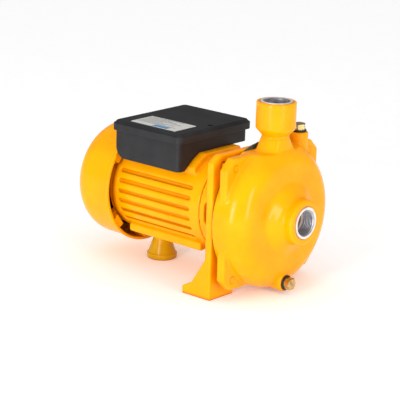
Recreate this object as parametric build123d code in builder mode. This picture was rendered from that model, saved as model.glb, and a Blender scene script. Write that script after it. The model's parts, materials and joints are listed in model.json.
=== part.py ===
from build123d import *
import os
from math import cos, radians, sin, sqrt

os.makedirs("parts", exist_ok=True)

# Centrifugal water pump, close-coupled to its motor. Millimetres.
# The shaft lies along X with the suction port at +X, the discharge port points up +Z,
# and the feet stand on z = 0. The origin is midway between the two foot bolt holes.

# ---------------------------------------------------------------- driving dimensions
shaft_height = 95.5
suction_face_x = 100.0
discharge_x = 48.0
discharge_top_z = 236.0

port_thread_radius = 16.62  # G1 female thread, major diameter 33.25
port_thread_length = 20.0
port_insert_radius = 19.5
suction_boss_radius = 28.0
collar_radius = 24.2
collar_bottom_z = 203.0

volute_radius = 90.0
casing_top_z = 176.5
joint_x = 29.0
gasket_thickness = 0.6
lug_back_x = 36.0
lug_front_x = 47.0
lug_half_width = 86.0
lug_half_height = 81.0
casing_bolt_offset = 68.5
casing_bolt_radius = 4.0
casing_bolt_flats = 13.0
casing_bolt_head = 5.3
washer_radius = 8.0
washer_thickness = 1.6
chamber_radius = 82.0

bracket_back_x = 18.0
bracket_front_x = 27.0
bracket_half_width = 88.0
bracket_top_z = 178.0
tie_rod_circle = 55.5
tie_rod_radius = 2.5
tie_rod_angles = (52, 128, 232, 308)
foot_inner_y = 44.0
foot_toe_x = -17.0
foot_thickness = 9.0
foot_hole_radius = 5.0
foot_hole_y = 70.0

motor_radius = 59.3
bell_end_x = -18.0
housing_end_x = -165.0
stator_bore_radius = 29.0
stator_radius = 52.0
stator_front_x = -58.0
stator_back_x = -128.0
groove_front_x = -34.5
groove_back_x = -155.0

fan_cover_lip_x = -155.5
fan_cover_end_x = -226.0
fan_cover_radius = 75.0
fan_cover_wall = 1.6

box_back_x = -154.5
box_front_x = -48.0
box_half_width = 64.0
box_floor_z = 159.0
box_skirt_z = 139.5
box_rim_z = 174.0
lid_top_z = 187.6
lid_overhang = 4.4
box_wall = 3.0

rear_foot_x = -130.5
impeller_radius = 66.0
wear_clearance = 0.3
thread_clearance = 0.08

# ---------------------------------------------------------------- shared planes and axes
shaft_axis = Axis((0, 0, shaft_height), (1, 0, 0))
across = Plane(origin=(0, 0, shaft_height), x_dir=(0, 1, 0), z_dir=(1, 0, 0))
along = Plane(origin=(0, 0, shaft_height), x_dir=(1, 0, 0), z_dir=(0, -1, 0))
upright = Plane(origin=(discharge_x, 0, 0), x_dir=(1, 0, 0), z_dir=(0, -1, 0))
discharge_axis = Axis((discharge_x, 0, 0), (0, 0, 1))


def finish(part, name):
    """Names a finished piece and writes its STEP file."""
    part.label = name
    export_step(part, f"parts/{name}.step")


def ring(x_start, x_end, outer, inner=0.0):
    """A disc or a tube about the shaft, from x_start to x_end."""
    with BuildPart() as piece:
        with BuildSketch(across.offset(x_start)):
            Circle(outer)
            if inner > 0:
                Circle(inner, mode=Mode.SUBTRACT)
        extrude(amount=x_end - x_start)
    return piece.part


def turned(points):
    """A solid turned about the shaft from an outline of (x, radius) points."""
    with BuildPart() as piece:
        with BuildSketch(along):
            with BuildLine():
                Polyline(*points, close=True)
            make_face()
        revolve(axis=shaft_axis)
    return piece.part


def tie_rod_holes(x_start, x_end):
    """The set of round bars that clears the tie rods between two stations of the shaft."""
    with BuildPart() as bars:
        with BuildSketch(across.offset(x_start)):
            for angle in tie_rod_angles:
                with PolarLocations(tie_rod_circle, 1, start_angle=angle):
                    Circle(tie_rod_radius)
        extrude(amount=x_end - x_start)
    return bars.part


def post(x, y, z_start, z_end, radius):
    """An upright round post."""
    with BuildPart() as piece:
        with BuildSketch(Plane.XY.offset(z_start)):
            with Locations((x, y)):
                Circle(radius)
        extrude(amount=z_end - z_start)
    return piece.part


def bolt(plane, head_flats, head_height, shank_radius, shank_length, chamfer_size=0.4):
    """A hexagon-head bolt whose head stands on the plane and whose shank goes down from it."""
    with BuildPart() as piece:
        with BuildSketch(plane):
            RegularPolygon(head_flats / 2, 6, major_radius=False)
        extrude(amount=head_height)
        chamfer(piece.faces().sort_by(Axis(plane.origin, plane.z_dir))[-1].edges(), chamfer_size)
        with BuildSketch(plane):
            Circle(shank_radius)
        extrude(amount=-shank_length)
    return piece.part


def pan_screw(plane, head_radius, head_height, shank_radius, shank_length):
    """A round-head screw with a cross recess, standing on the plane."""
    with BuildPart() as piece:
        with BuildSketch(plane):
            Circle(head_radius)
        extrude(amount=head_height)
        top = piece.faces().sort_by(Axis(plane.origin, plane.z_dir))[-1]
        fillet(top.edges(), head_height * 0.6)
        with BuildSketch(plane.offset(head_height)):
            Rectangle(head_radius * 1.1, head_radius * 0.25)
            Rectangle(head_radius * 0.25, head_radius * 1.1)
        extrude(amount=-head_height * 0.6, mode=Mode.SUBTRACT)
        with BuildSketch(plane):
            Circle(shank_radius)
        extrude(amount=-shank_length)
    return piece.part


def pipe_plug(plane, shank_radius, shank_length, collar_height):
    """A hexagon-head pipe plug with a collar under its head."""
    with BuildPart() as piece:
        with BuildSketch(plane):
            Circle(7.6)
        extrude(amount=collar_height)
        with BuildSketch(plane.offset(collar_height)):
            RegularPolygon(7.0, 6, major_radius=False)
        extrude(amount=6.2)
        chamfer(piece.faces().sort_by(Axis(plane.origin, plane.z_dir))[-1].edges(), 0.6)
        with BuildSketch(plane):
            Circle(shank_radius)
        extrude(amount=-shank_length)
    return piece.part


# ---------------------------------------------------------------- pump casing
neck_root_z = 158.0
neck_waist_z = 192.0
fill_x = 44.0
fill_y = 51.0
fill_top_z = 190.0
fill_hole_radius = 5.0
drain_z = 14.5
drain_face_x = 73.5
drain_hole_radius = 5.0
plug_boss_radius = 11.6
throat_radius = 14.0
neck_bore_radius = 12.0
eye_bore_radius = 22.0 + wear_clearance

with BuildPart() as pump_casing:
    # round body: flat back, large rounded shoulder, shallow face and the stepped suction boss
    with BuildSketch(along):
        with BuildLine():
            FilletPolyline(
                (joint_x, 0),
                (joint_x, volute_radius),
                (72.5, volute_radius),
                (75.0, 43.5),
                (80.5, 36.0),
                (86.0, suction_boss_radius),
                (suction_face_x, suction_boss_radius),
                (suction_face_x, 0),
                close=True,
                radius=(0, 1.2, 27.0, 10.0, 4.0, 7.0, 3.0, 0),
            )
        make_face()
    revolve(axis=shaft_axis)
    # the top of the casing is cast flat between its lugs
    with BuildSketch(Plane.XY.offset(casing_top_z)):
        Rectangle(4 * volute_radius, 4 * volute_radius)
    extrude(amount=volute_radius, mode=Mode.SUBTRACT)
    # square lug plate with cut corners
    with BuildSketch(across.offset(lug_back_x)):
        plate = Rectangle(2 * lug_half_width, 2 * lug_half_height)
        chamfer(plate.vertices(), 13.0)
    extrude(amount=lug_front_x - lug_back_x)
    # discharge neck, wide where it leaves the volute and round under the collar
    with BuildSketch(Plane.XY.offset(neck_root_z)):
        with Locations((discharge_x - 1, 0)):
            RectangleRounded(36, 78, 14)
    with BuildSketch(Plane.XY.offset(casing_top_z)):
        with Locations((discharge_x, 0)):
            RectangleRounded(35, 48, 14)
    with BuildSketch(Plane.XY.offset(neck_waist_z)):
        with Locations((discharge_x, 0)):
            RectangleRounded(32.5, 33.5, 15)
    loft()
    with BuildSketch(upright):
        with BuildLine():
            FilletPolyline(
                (0, neck_waist_z - 8),
                (15.6, neck_waist_z - 8),
                (15.6, neck_waist_z + 2),
                (collar_radius, collar_bottom_z),
                (collar_radius, discharge_top_z),
                (0, discharge_top_z),
                close=True,
                radius=(0, 0, 8.0, 3.0, 1.0, 0),
            )
        make_face()
    revolve(axis=discharge_axis)
    # bosses of the fill plug and the drain plug
    add(post(fill_x, fill_y, neck_root_z, fill_top_z, plug_boss_radius))
    with BuildSketch(Plane.YZ.offset(lug_front_x)):
        with Locations((0, drain_z)):
            Circle(plug_boss_radius)
    extrude(amount=drain_face_x - lug_front_x)
    # water space round the impeller
    with BuildSketch(along):
        with BuildLine():
            FilletPolyline(
                (joint_x - 1, 0),
                (joint_x - 1, chamber_radius),
                (66.0, chamber_radius),
                (66.0, 27.0),
                (57.0, 27.0),
                (57.0, 0),
                close=True,
                radius=(0, 0, 22.0, 3.0, 0, 0),
            )
        make_face()
    revolve(axis=shaft_axis, mode=Mode.SUBTRACT)
    add(ring(50.0, 71.0, eye_bore_radius), mode=Mode.SUBTRACT)
    add(ring(70.0, suction_face_x, throat_radius), mode=Mode.SUBTRACT)
    port_floor_x = suction_face_x - port_thread_length
    add(ring(port_floor_x, suction_face_x, port_insert_radius), mode=Mode.SUBTRACT)
    port_floor_z = discharge_top_z - port_thread_length
    add(post(discharge_x, 0, 150.0, port_floor_z, neck_bore_radius), mode=Mode.SUBTRACT)
    add(post(discharge_x, 0, port_floor_z, discharge_top_z, port_insert_radius), mode=Mode.SUBTRACT)
    add(post(fill_x, fill_y, 150.0, fill_top_z, fill_hole_radius), mode=Mode.SUBTRACT)
    with BuildSketch(Plane.YZ.offset(40.0)):
        with Locations((0, drain_z)):
            Circle(drain_hole_radius)
    extrude(amount=drain_face_x - 40.0, mode=Mode.SUBTRACT)
    # threaded holes for the four casing bolts
    with BuildSketch(across.offset(lug_back_x)):
        with GridLocations(2 * casing_bolt_offset, 2 * casing_bolt_offset, 2, 2):
            Circle(casing_bolt_radius)
    extrude(amount=lug_front_x - lug_back_x + 1, mode=Mode.SUBTRACT)
finish(pump_casing.part, "pump_casing")

with BuildPart() as suction_insert:
    add(ring(port_floor_x, suction_face_x + 0.4, port_insert_radius, port_thread_radius))
    add(ring(port_floor_x, port_floor_x + 2, port_thread_radius, throat_radius))
finish(suction_insert.part, "suction_insert")

with BuildPart() as discharge_insert:
    add(post(discharge_x, 0, port_floor_z, discharge_top_z + 0.4, port_insert_radius))
    add(post(discharge_x, 0, port_floor_z, port_floor_z + 2, neck_bore_radius), mode=Mode.SUBTRACT)
    bore_start_z = port_floor_z + 2
    add(post(discharge_x, 0, bore_start_z, discharge_top_z + 1, port_thread_radius), mode=Mode.SUBTRACT)
finish(discharge_insert.part, "discharge_insert")

with BuildPart() as casing_gasket:
    add(ring(joint_x - gasket_thickness, joint_x, volute_radius - 2, chamber_radius))
finish(casing_gasket.part, "casing_gasket")

# ---------------------------------------------------------------- plugs and their seals
plug_seal_height = 2.4
plug_shank_radius = fill_hole_radius - thread_clearance

fill_plane = Plane(origin=(fill_x, fill_y, fill_top_z + plug_seal_height), z_dir=(0, 0, 1))
with BuildPart() as fill_plug:
    add(pipe_plug(fill_plane, plug_shank_radius, plug_seal_height + 12.0, 1.4))
finish(fill_plug.part, "fill_plug")

with BuildPart() as fill_plug_seal:
    add(post(fill_x, fill_y, fill_top_z, fill_top_z + plug_seal_height, 9.2))
    fillet(fill_plug_seal.faces().sort_by(Axis.Z)[-1].edges(), 0.8)
    add(post(fill_x, fill_y, fill_top_z - 1, fill_top_z + 5, fill_hole_radius), mode=Mode.SUBTRACT)
finish(fill_plug_seal.part, "fill_plug_seal")

drain_plane = Plane(
    origin=(drain_face_x + plug_seal_height, 0, drain_z), x_dir=(0, 1, 0), z_dir=(1, 0, 0)
)
with BuildPart() as drain_plug:
    add(pipe_plug(drain_plane, plug_shank_radius, plug_seal_height + 12.0, 1.4))
finish(drain_plug.part, "drain_plug")

with BuildPart() as drain_plug_seal:
    with BuildSketch(drain_plane):
        Circle(9.2)
    extrude(amount=-plug_seal_height)
    fillet(drain_plug_seal.faces().sort_by(Axis.X)[-1].edges(), 0.8)
    with BuildSketch(drain_plane.offset(1)):
        Circle(drain_hole_radius)
    extrude(amount=-2 * plug_seal_height, mode=Mode.SUBTRACT)
finish(drain_plug_seal.part, "drain_plug_seal")

# ---------------------------------------------------------------- bracket
bell_bore_radius = 50.0
tie_rod_thread_end_x = -6.0
motor_wall_x = -30.0
bearing_front_x = -18.0
front_bearing_radius = 20.0
window_half_height = 14.0
seal_bore_radius = 16.0
gusset_thickness = 8.5

with BuildPart() as bracket:
    # square flange with cut top corners, and the legs below it
    with BuildSketch(Plane.YZ.offset(bracket_back_x)):
        with BuildLine():
            Polyline(
                (-bracket_half_width, 0),
                (-bracket_half_width, bracket_top_z - 9),
                (-bracket_half_width + 13, bracket_top_z),
                (bracket_half_width - 13, bracket_top_z),
                (bracket_half_width, bracket_top_z - 9),
                (bracket_half_width, 0),
                (foot_inner_y, 0),
                (foot_inner_y, 10),
                (foot_inner_y - 9, 19),
                (-foot_inner_y + 9, 19),
                (-foot_inner_y, 10),
                (-foot_inner_y, 0),
                close=True,
            )
        make_face()
    extrude(amount=bracket_front_x - bracket_back_x)
    # raised round face that meets the casing
    add(ring(bracket_front_x, joint_x - gasket_thickness, volute_radius - 2))
    # bell back to the motor and its inner wall with the bearing seat
    add(ring(bell_end_x, bracket_back_x, motor_radius))
    add(ring(motor_wall_x, bell_end_x, front_bearing_radius + 6))
    add(ring(motor_wall_x + 6, bell_end_x, stator_radius))
    # feet: flat pads with a sloping web on the outer side
    with BuildSketch(Plane.XY):
        with Locations(
            ((foot_toe_x + bracket_back_x) / 2, (bracket_half_width + foot_inner_y) / 2),
            ((foot_toe_x + bracket_back_x) / 2, -(bracket_half_width + foot_inner_y) / 2),
        ):
            Rectangle(bracket_back_x - foot_toe_x, bracket_half_width - foot_inner_y)
    extrude(amount=foot_thickness)
    for web_start in (-bracket_half_width, bracket_half_width - gusset_thickness):
        with BuildSketch(Plane.XZ.offset(-web_start - gusset_thickness)):
            with BuildLine():
                Polyline(
                    (bracket_back_x, 0),
                    (bracket_back_x, 50),
                    (-3, 17),
                    (foot_toe_x - 0.5, 9.5),
                    (foot_toe_x - 0.5, 5),
                    (foot_toe_x + 4, 0),
                    close=True,
                )
            make_face()
        extrude(amount=gusset_thickness)
    # hollow of the bell, its side windows and the seal chamber
    add(ring(-12.0, 10.0, bell_bore_radius), mode=Mode.SUBTRACT)
    with BuildSketch(Plane.XZ):
        with Locations((-0.5, shaft_height)):
            RectangleRounded(20, 2 * window_half_height, 3)
    extrude(amount=bracket_half_width, both=True, mode=Mode.SUBTRACT)
    add(ring(motor_wall_x - 1, bearing_front_x, front_bearing_radius), mode=Mode.SUBTRACT)
    add(ring(bearing_front_x, -11.0, 13.0), mode=Mode.SUBTRACT)
    add(ring(9.0, joint_x, 11.0), mode=Mode.SUBTRACT)
    add(ring(14.0, joint_x, seal_bore_radius), mode=Mode.SUBTRACT)
    # holes for the casing bolts, the foot bolts and the tie rods
    with BuildSketch(across.offset(bracket_back_x)):
        with GridLocations(2 * casing_bolt_offset, 2 * casing_bolt_offset, 2, 2):
            Circle(casing_bolt_radius + 0.4)
    extrude(amount=bracket_front_x - bracket_back_x, mode=Mode.SUBTRACT)
    with BuildSketch(Plane.XY):
        with Locations((0, foot_hole_y), (0, -foot_hole_y)):
            Circle(foot_hole_radius)
    extrude(amount=foot_thickness, mode=Mode.SUBTRACT)
    add(tie_rod_holes(bell_end_x, tie_rod_thread_end_x), mode=Mode.SUBTRACT)
finish(bracket.part, "bracket")

bolt_tip_proud = -0.5
with BuildPart() as casing_bolts:
    for y_side in (-1, 1):
        for z_side in (-1, 1):
            head_plane = Plane(
                origin=(
                    bracket_back_x - washer_thickness,
                    y_side * casing_bolt_offset,
                    shaft_height + z_side * casing_bolt_offset,
                ),
                x_dir=(0, 1, 0),
                z_dir=(-1, 0, 0),
            )
            shank_length = lug_front_x + bolt_tip_proud - head_plane.origin.X
            add(bolt(head_plane, casing_bolt_flats, casing_bolt_head, casing_bolt_radius, shank_length))
finish(casing_bolts.part, "casing_bolts")

with BuildPart() as casing_bolt_washers:
    with BuildSketch(across.offset(bracket_back_x - washer_thickness)):
        with GridLocations(2 * casing_bolt_offset, 2 * casing_bolt_offset, 2, 2):
            Circle(washer_radius)
            Circle(casing_bolt_radius + 0.2, mode=Mode.SUBTRACT)
    extrude(amount=washer_thickness)
finish(casing_bolt_washers.part, "casing_bolt_washers")

# ---------------------------------------------------------------- shaft and impeller
rear_bearing_front_x = -146.0
rear_bearing_back_x = -157.0
fan_seat_x = -170.0
shaft_end_x = -198.0
impeller_back_x = 36.0
impeller_hub_x = 56.0
nut_end_x = 64.0
shaft_tip_x = 68.0
seal_seat_radius = 8.0
impeller_seat_radius = 7.0
key_length = 16.0
key_width = 4.0
key_bottom_z = shaft_height + 4.5
key_middle_x = (impeller_back_x + impeller_hub_x) / 2

with BuildPart() as shaft:
    add(
        turned(
            [
                (shaft_end_x, 0),
                (shaft_end_x, 6.0),
                (shaft_end_x + 1, 7.0),
                (rear_bearing_back_x - 3, 7.0),
                (rear_bearing_back_x - 3, 7.5),
                (rear_bearing_front_x, 7.5),
                (rear_bearing_front_x, 10.0),
                (stator_back_x, 10.0),
                (stator_back_x, 11.0),
                (stator_front_x, 11.0),
                (stator_front_x, 10.0),
                (motor_wall_x, 10.0),
                (motor_wall_x, 8.5),
                (-12.0, 8.5),
                (-12.0, seal_seat_radius),
                (impeller_back_x, seal_seat_radius),
                (impeller_back_x, impeller_seat_radius),
                (impeller_hub_x, impeller_seat_radius),
                (impeller_hub_x, 6.0),
                (shaft_tip_x - 1, 6.0),
                (shaft_tip_x, 5.0),
                (shaft_tip_x, 0),
            ]
        )
    )
    # keyway under the impeller, and the flat that drives the fan
    with BuildSketch(Plane.XY.offset(key_bottom_z)):
        with Locations((key_middle_x, 0)):
            SlotOverall(key_length, key_width)
    extrude(amount=4.0, mode=Mode.SUBTRACT)
    with BuildSketch(Plane.XY.offset(shaft_height + 6.0)):
        with Locations(((fan_seat_x + shaft_end_x) / 2, 0)):
            Rectangle(fan_seat_x - shaft_end_x, 14.0)
    extrude(amount=4.0, mode=Mode.SUBTRACT)
finish(shaft.part, "shaft")

with BuildPart() as impeller_key:
    with BuildSketch(Plane.XY.offset(key_bottom_z)):
        with Locations((key_middle_x, 0)):
            SlotOverall(key_length, key_width)
    extrude(amount=4.0)
finish(impeller_key.part, "impeller_key")

vane_count = 6
vane_bottom_radius = 21.0
vane_height = 10.5
vane_half_thickness = 1.4
plate_thickness = 3.5
front_plate_x = impeller_back_x + plate_thickness + vane_height
eye_ring_end_x = 65.0
eye_radius = 18.5
with BuildPart() as impeller:
    # back plate with its hub, and the front plate with its eye
    add(ring(impeller_back_x, impeller_hub_x, 13.0, impeller_seat_radius))
    add(ring(impeller_back_x, impeller_back_x + plate_thickness, impeller_radius, impeller_seat_radius))
    with BuildSketch(across.offset(impeller_back_x + plate_thickness)):
        with BuildLine():
            ThreePointArc(
                (vane_bottom_radius, 0),
                (38 * cos(radians(-22)), 38 * sin(radians(-22))),
                ((impeller_radius - 3) * cos(radians(-62)), (impeller_radius - 3) * sin(radians(-62))),
            )
            offset(amount=vane_half_thickness, side=Side.BOTH)
        vane = make_face(mode=Mode.PRIVATE)
        with PolarLocations(0, vane_count):
            add(vane)
    extrude(amount=vane_height + 0.5)
    add(ring(front_plate_x, front_plate_x + 3, impeller_radius, eye_radius))
    add(ring(front_plate_x, eye_ring_end_x, eye_bore_radius - wear_clearance, eye_radius))
    # keyway
    with BuildSketch(Plane.XY.offset(key_bottom_z)):
        with Locations((key_middle_x, 0)):
            SlotOverall(key_length, key_width)
    extrude(amount=key_width, mode=Mode.SUBTRACT)
finish(impeller.part, "impeller")

with BuildPart() as impeller_washer:
    add(ring(impeller_hub_x, impeller_hub_x + 1.5, 11.0, 6.2))
finish(impeller_washer.part, "impeller_washer")

with BuildPart() as impeller_nut:
    with BuildSketch(across.offset(impeller_hub_x + 1.5)):
        RegularPolygon(9.0, 6, major_radius=False)
        Circle(6.0, mode=Mode.SUBTRACT)
    extrude(amount=nut_end_x - impeller_hub_x - 1.5)
finish(impeller_nut.part, "impeller_nut")

# ---------------------------------------------------------------- mechanical seal and slinger
with BuildPart() as seal_seat_cup:
    add(ring(14.0, 21.0, seal_bore_radius, 13.0))
    add(ring(14.0, 15.5, 13.0, 9.5))
finish(seal_seat_cup.part, "seal_seat_cup")

with BuildPart() as seal_seat:
    add(ring(15.5, 21.5, 13.0, 9.2))
finish(seal_seat.part, "seal_seat")

with BuildPart() as seal_face:
    add(ring(21.8, 25.0, 12.0, 9.0))
finish(seal_face.part, "seal_face")

with BuildPart() as seal_bellows:
    add(ring(22.5, 35.0, 9.0, seal_seat_radius))
    add(ring(25.0, 27.0, 12.0, 9.0))
finish(seal_bellows.part, "seal_bellows")

seal_spring_radius = 10.6
with BuildPart() as seal_spring:
    with BuildLine():
        Helix(
            pitch=2.6,
            height=7.0,
            radius=seal_spring_radius,
            center=(28.0, 0, shaft_height),
            direction=(1, 0, 0),
        )
    spring_start = seal_spring.pending_edges_as_wire
    with BuildSketch(Plane(origin=spring_start @ 0, z_dir=spring_start % 0)):
        Circle(0.7)
    sweep(path=spring_start)
finish(seal_spring.part, "seal_spring")

with BuildPart() as slinger:
    add(ring(-2.0, 0.0, 17.0, seal_seat_radius))
    add(ring(0.0, 4.0, 11.0, seal_seat_radius))
finish(slinger.part, "slinger")


# ---------------------------------------------------------------- bearings
def bearing_pieces(x_start, width, bore_radius, outside_radius, ball_count):
    """The outer ring, inner ring, ball set and cage of a deep-groove ball bearing."""
    middle_x = x_start + width / 2
    pitch_radius = (bore_radius + outside_radius) / 2
    ball_radius = (outside_radius - bore_radius) * 0.30
    play = 0.12
    land = ball_radius * 0.62
    with BuildPart() as groove:
        with BuildSketch(along):
            with Locations((middle_x, pitch_radius)):
                Circle(ball_radius + play)
        revolve(axis=shaft_axis)
    with BuildPart() as outer:
        add(ring(x_start, x_start + width, outside_radius, pitch_radius + land))
        add(groove.part, mode=Mode.SUBTRACT)
    with BuildPart() as inner:
        add(ring(x_start, x_start + width, pitch_radius - land, bore_radius))
        add(groove.part, mode=Mode.SUBTRACT)
    ball_angles = [10 + 360 / ball_count * step for step in range(ball_count)]
    with BuildPart() as balls:
        for angle in ball_angles:
            y = pitch_radius * cos(radians(angle))
            z = shaft_height + pitch_radius * sin(radians(angle))
            with Locations((middle_x, y, z)):
                Sphere(ball_radius)
    with BuildPart() as cage:
        cage_half = ball_radius + 1.0
        add(ring(middle_x - cage_half, middle_x + cage_half, pitch_radius + 0.9, pitch_radius - 0.9))
        # a round pocket for each ball, cut straight through the cage
        for angle in ball_angles:
            outward = (0, cos(radians(angle)), sin(radians(angle)))
            pocket = Plane(origin=(middle_x, 0, shaft_height), x_dir=(1, 0, 0), z_dir=outward)
            with BuildSketch(pocket.offset(pitch_radius - 3)):
                Circle(ball_radius + play)
            extrude(amount=6.0, mode=Mode.SUBTRACT)
    return outer.part, inner.part, balls.part, cage.part


front_bearing = bearing_pieces(motor_wall_x, 12.0, 8.5, front_bearing_radius, 8)
rear_bearing = bearing_pieces(rear_bearing_back_x, 11.0, 7.5, 17.5, 8)
for bearing_name, pieces in (("front_bearing", front_bearing), ("rear_bearing", rear_bearing)):
    for piece_name, piece in zip(("outer_ring", "inner_ring", "balls", "cage"), pieces):
        finish(piece, f"{bearing_name}_{piece_name}")

with BuildPart() as wave_washer:
    add(ring(rear_bearing_back_x - 1.2, rear_bearing_back_x, 17.0, 12.5))
finish(wave_washer.part, "wave_washer")

# ---------------------------------------------------------------- rotor and stator
slot_count = 24
rotor_bar_count = 18
rotor_bar_circle = 24.0
rotor_bar_radius = 2.2
rotor_radius = stator_bore_radius - 0.4
with BuildPart() as rotor_core:
    add(ring(stator_back_x, stator_front_x, rotor_radius, 11.0))
    with BuildSketch(across.offset(stator_back_x)):
        with PolarLocations(rotor_bar_circle, rotor_bar_count):
            Circle(rotor_bar_radius)
    extrude(amount=stator_front_x - stator_back_x, mode=Mode.SUBTRACT)
finish(rotor_core.part, "rotor_core")

end_ring_width = 8.0
cooling_vane_length = 6.0
with BuildPart() as rotor_cage:
    with BuildSketch(across.offset(stator_back_x)):
        with PolarLocations(rotor_bar_circle, rotor_bar_count):
            Circle(rotor_bar_radius)
    extrude(amount=stator_front_x - stator_back_x)
    add(ring(stator_front_x, stator_front_x + end_ring_width, 28.0, 18.0))
    add(ring(stator_back_x - end_ring_width, stator_back_x, 28.0, 18.0))
    cage_end_x = stator_back_x - end_ring_width - cooling_vane_length
    for vane_start in (stator_front_x + end_ring_width, cage_end_x):
        with BuildSketch(across.offset(vane_start)):
            with PolarLocations(23.0, 9):
                Rectangle(8.0, 1.8)
        extrude(amount=cooling_vane_length)
finish(rotor_cage.part, "rotor_cage")

with BuildPart() as stator_core:
    add(ring(stator_back_x, stator_front_x, stator_radius, stator_bore_radius))
    with BuildSketch(across.offset(stator_back_x)):
        with PolarLocations(36.5, slot_count):
            RectangleRounded(11.0, 4.4, 1.2)
        with PolarLocations(30.0, slot_count):
            Rectangle(4.0, 1.8)
    extrude(amount=stator_front_x - stator_back_x, mode=Mode.SUBTRACT)
finish(stator_core.part, "stator_core")

winding_overhang = 15.0
winding_gap = 3.0
with BuildPart() as windings:
    with BuildSketch(across.offset(stator_back_x - winding_gap)):
        with PolarLocations(36.7, slot_count):
            RectangleRounded(9.8, 3.8, 1.0)
    extrude(amount=stator_front_x - stator_back_x + 2 * winding_gap)
    with BuildSketch(along):
        for bundle_x in (stator_front_x + 2, stator_back_x - 2 - winding_overhang):
            with Locations((bundle_x + winding_overhang / 2, 38.8)):
                RectangleRounded(winding_overhang, 14.4, 3.5)
    revolve(axis=shaft_axis)
finish(windings.part, "stator_windings")

# ---------------------------------------------------------------- motor housing
rail_half_width = 45.0
rail_bottom_z = 40.5
rail_back_x = groove_back_x + 9
rail_front_x = bell_end_x - 8
pad_top_z = box_floor_z
pad_back_x = -146.0
pad_front_x = -37.5
groove_width = 4.8
side_groove_depth = 4.4
lower_groove_depth = 6.0
box_screw_radius = 2.0
with BuildPart() as motor_housing:
    add(ring(housing_end_x, bell_end_x - 0.4, motor_radius))
    # corner rails below, and the raised seat of the terminal box above
    with BuildSketch(Plane.YZ.offset(rail_back_x)):
        for side in (-1, 1):
            with BuildLine():
                Polyline(
                    (side * 26, rail_bottom_z + 2),
                    (side * (rail_half_width - 2), rail_bottom_z),
                    (side * rail_half_width, rail_bottom_z + 2),
                    (side * rail_half_width, 51.0),
                    (side * 35, 55.0),
                    close=True,
                )
            make_face()
    extrude(amount=rail_front_x - rail_back_x)
    with BuildSketch(Plane.YZ.offset(pad_back_x)):
        with BuildLine():
            Polyline(
                (-25.5, pad_top_z),
                (38, pad_top_z),
                (48, 144.0),
                (40, 125.0),
                (-40, 125.0),
                (-47.5, 144.0),
                (-38, 151.7),
                close=True,
            )
        make_face()
    extrude(amount=pad_front_x - pad_back_x)
    # grooves between the flat ribs on both flanks, closed at both ends
    groove_length = groove_front_x - groove_back_x
    groove_middle_x = (groove_front_x + groove_back_x) / 2
    for angle in (26, 13, 0, -13, -26, -40):
        depth = lower_groove_depth if angle == -40 else side_groove_depth
        for flank in (angle, 180 - angle):
            normal = (0, cos(radians(flank)), sin(radians(flank)))
            groove_plane = Plane(
                origin=(groove_middle_x, 0, shaft_height), x_dir=(1, 0, 0), z_dir=normal
            )
            with BuildSketch(groove_plane.offset(motor_radius + 6)):
                SlotOverall(groove_length, groove_width)
            extrude(amount=-6 - depth, mode=Mode.SUBTRACT)
    # flat boss for the rear foot
    add(post(rear_foot_x, 0, 34.0, 45.0, 12.5))
    # bore for the stator, and threaded holes for the box and the rear foot
    add(ring(housing_end_x - 1, bell_end_x, stator_radius), mode=Mode.SUBTRACT)
    box_screw_places = [(x, y) for x in (-126.0, -66.0) for y in (-20.0, 20.0)]
    for x, y in box_screw_places:
        add(post(x, y, pad_top_z - 8, pad_top_z + 1, box_screw_radius), mode=Mode.SUBTRACT)
    add(post(rear_foot_x, 0, 33.0, 42.5, 3.0), mode=Mode.SUBTRACT)
    add(tie_rod_holes(housing_end_x, bell_end_x), mode=Mode.SUBTRACT)
finish(motor_housing.part, "motor_housing")

# ---------------------------------------------------------------- rear end shield
cover_screw_angles = (-90, -38, 38)
cover_screw_radius = 2.0
shield_plate = 4.0
arm_width = 16.0
arm_root_radius = 54.0


def cover_screw_plane(angle, radius):
    """The plane square to a fan cover screw, at a distance from the shaft."""
    outward = (0, cos(radians(angle)), sin(radians(angle)))
    centre = (housing_end_x - 1, radius * outward[1], shaft_height + radius * outward[2])
    return Plane(origin=centre, x_dir=(1, 0, 0), z_dir=outward)


def cover_screw_holes():
    """The set of round bars that clears the fan cover screws."""
    with BuildPart() as bars:
        for angle in cover_screw_angles:
            with BuildSketch(cover_screw_plane(angle, fan_cover_radius - 11)):
                Circle(cover_screw_radius + 0.05)
            extrude(amount=14.0)
    return bars.part


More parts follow.
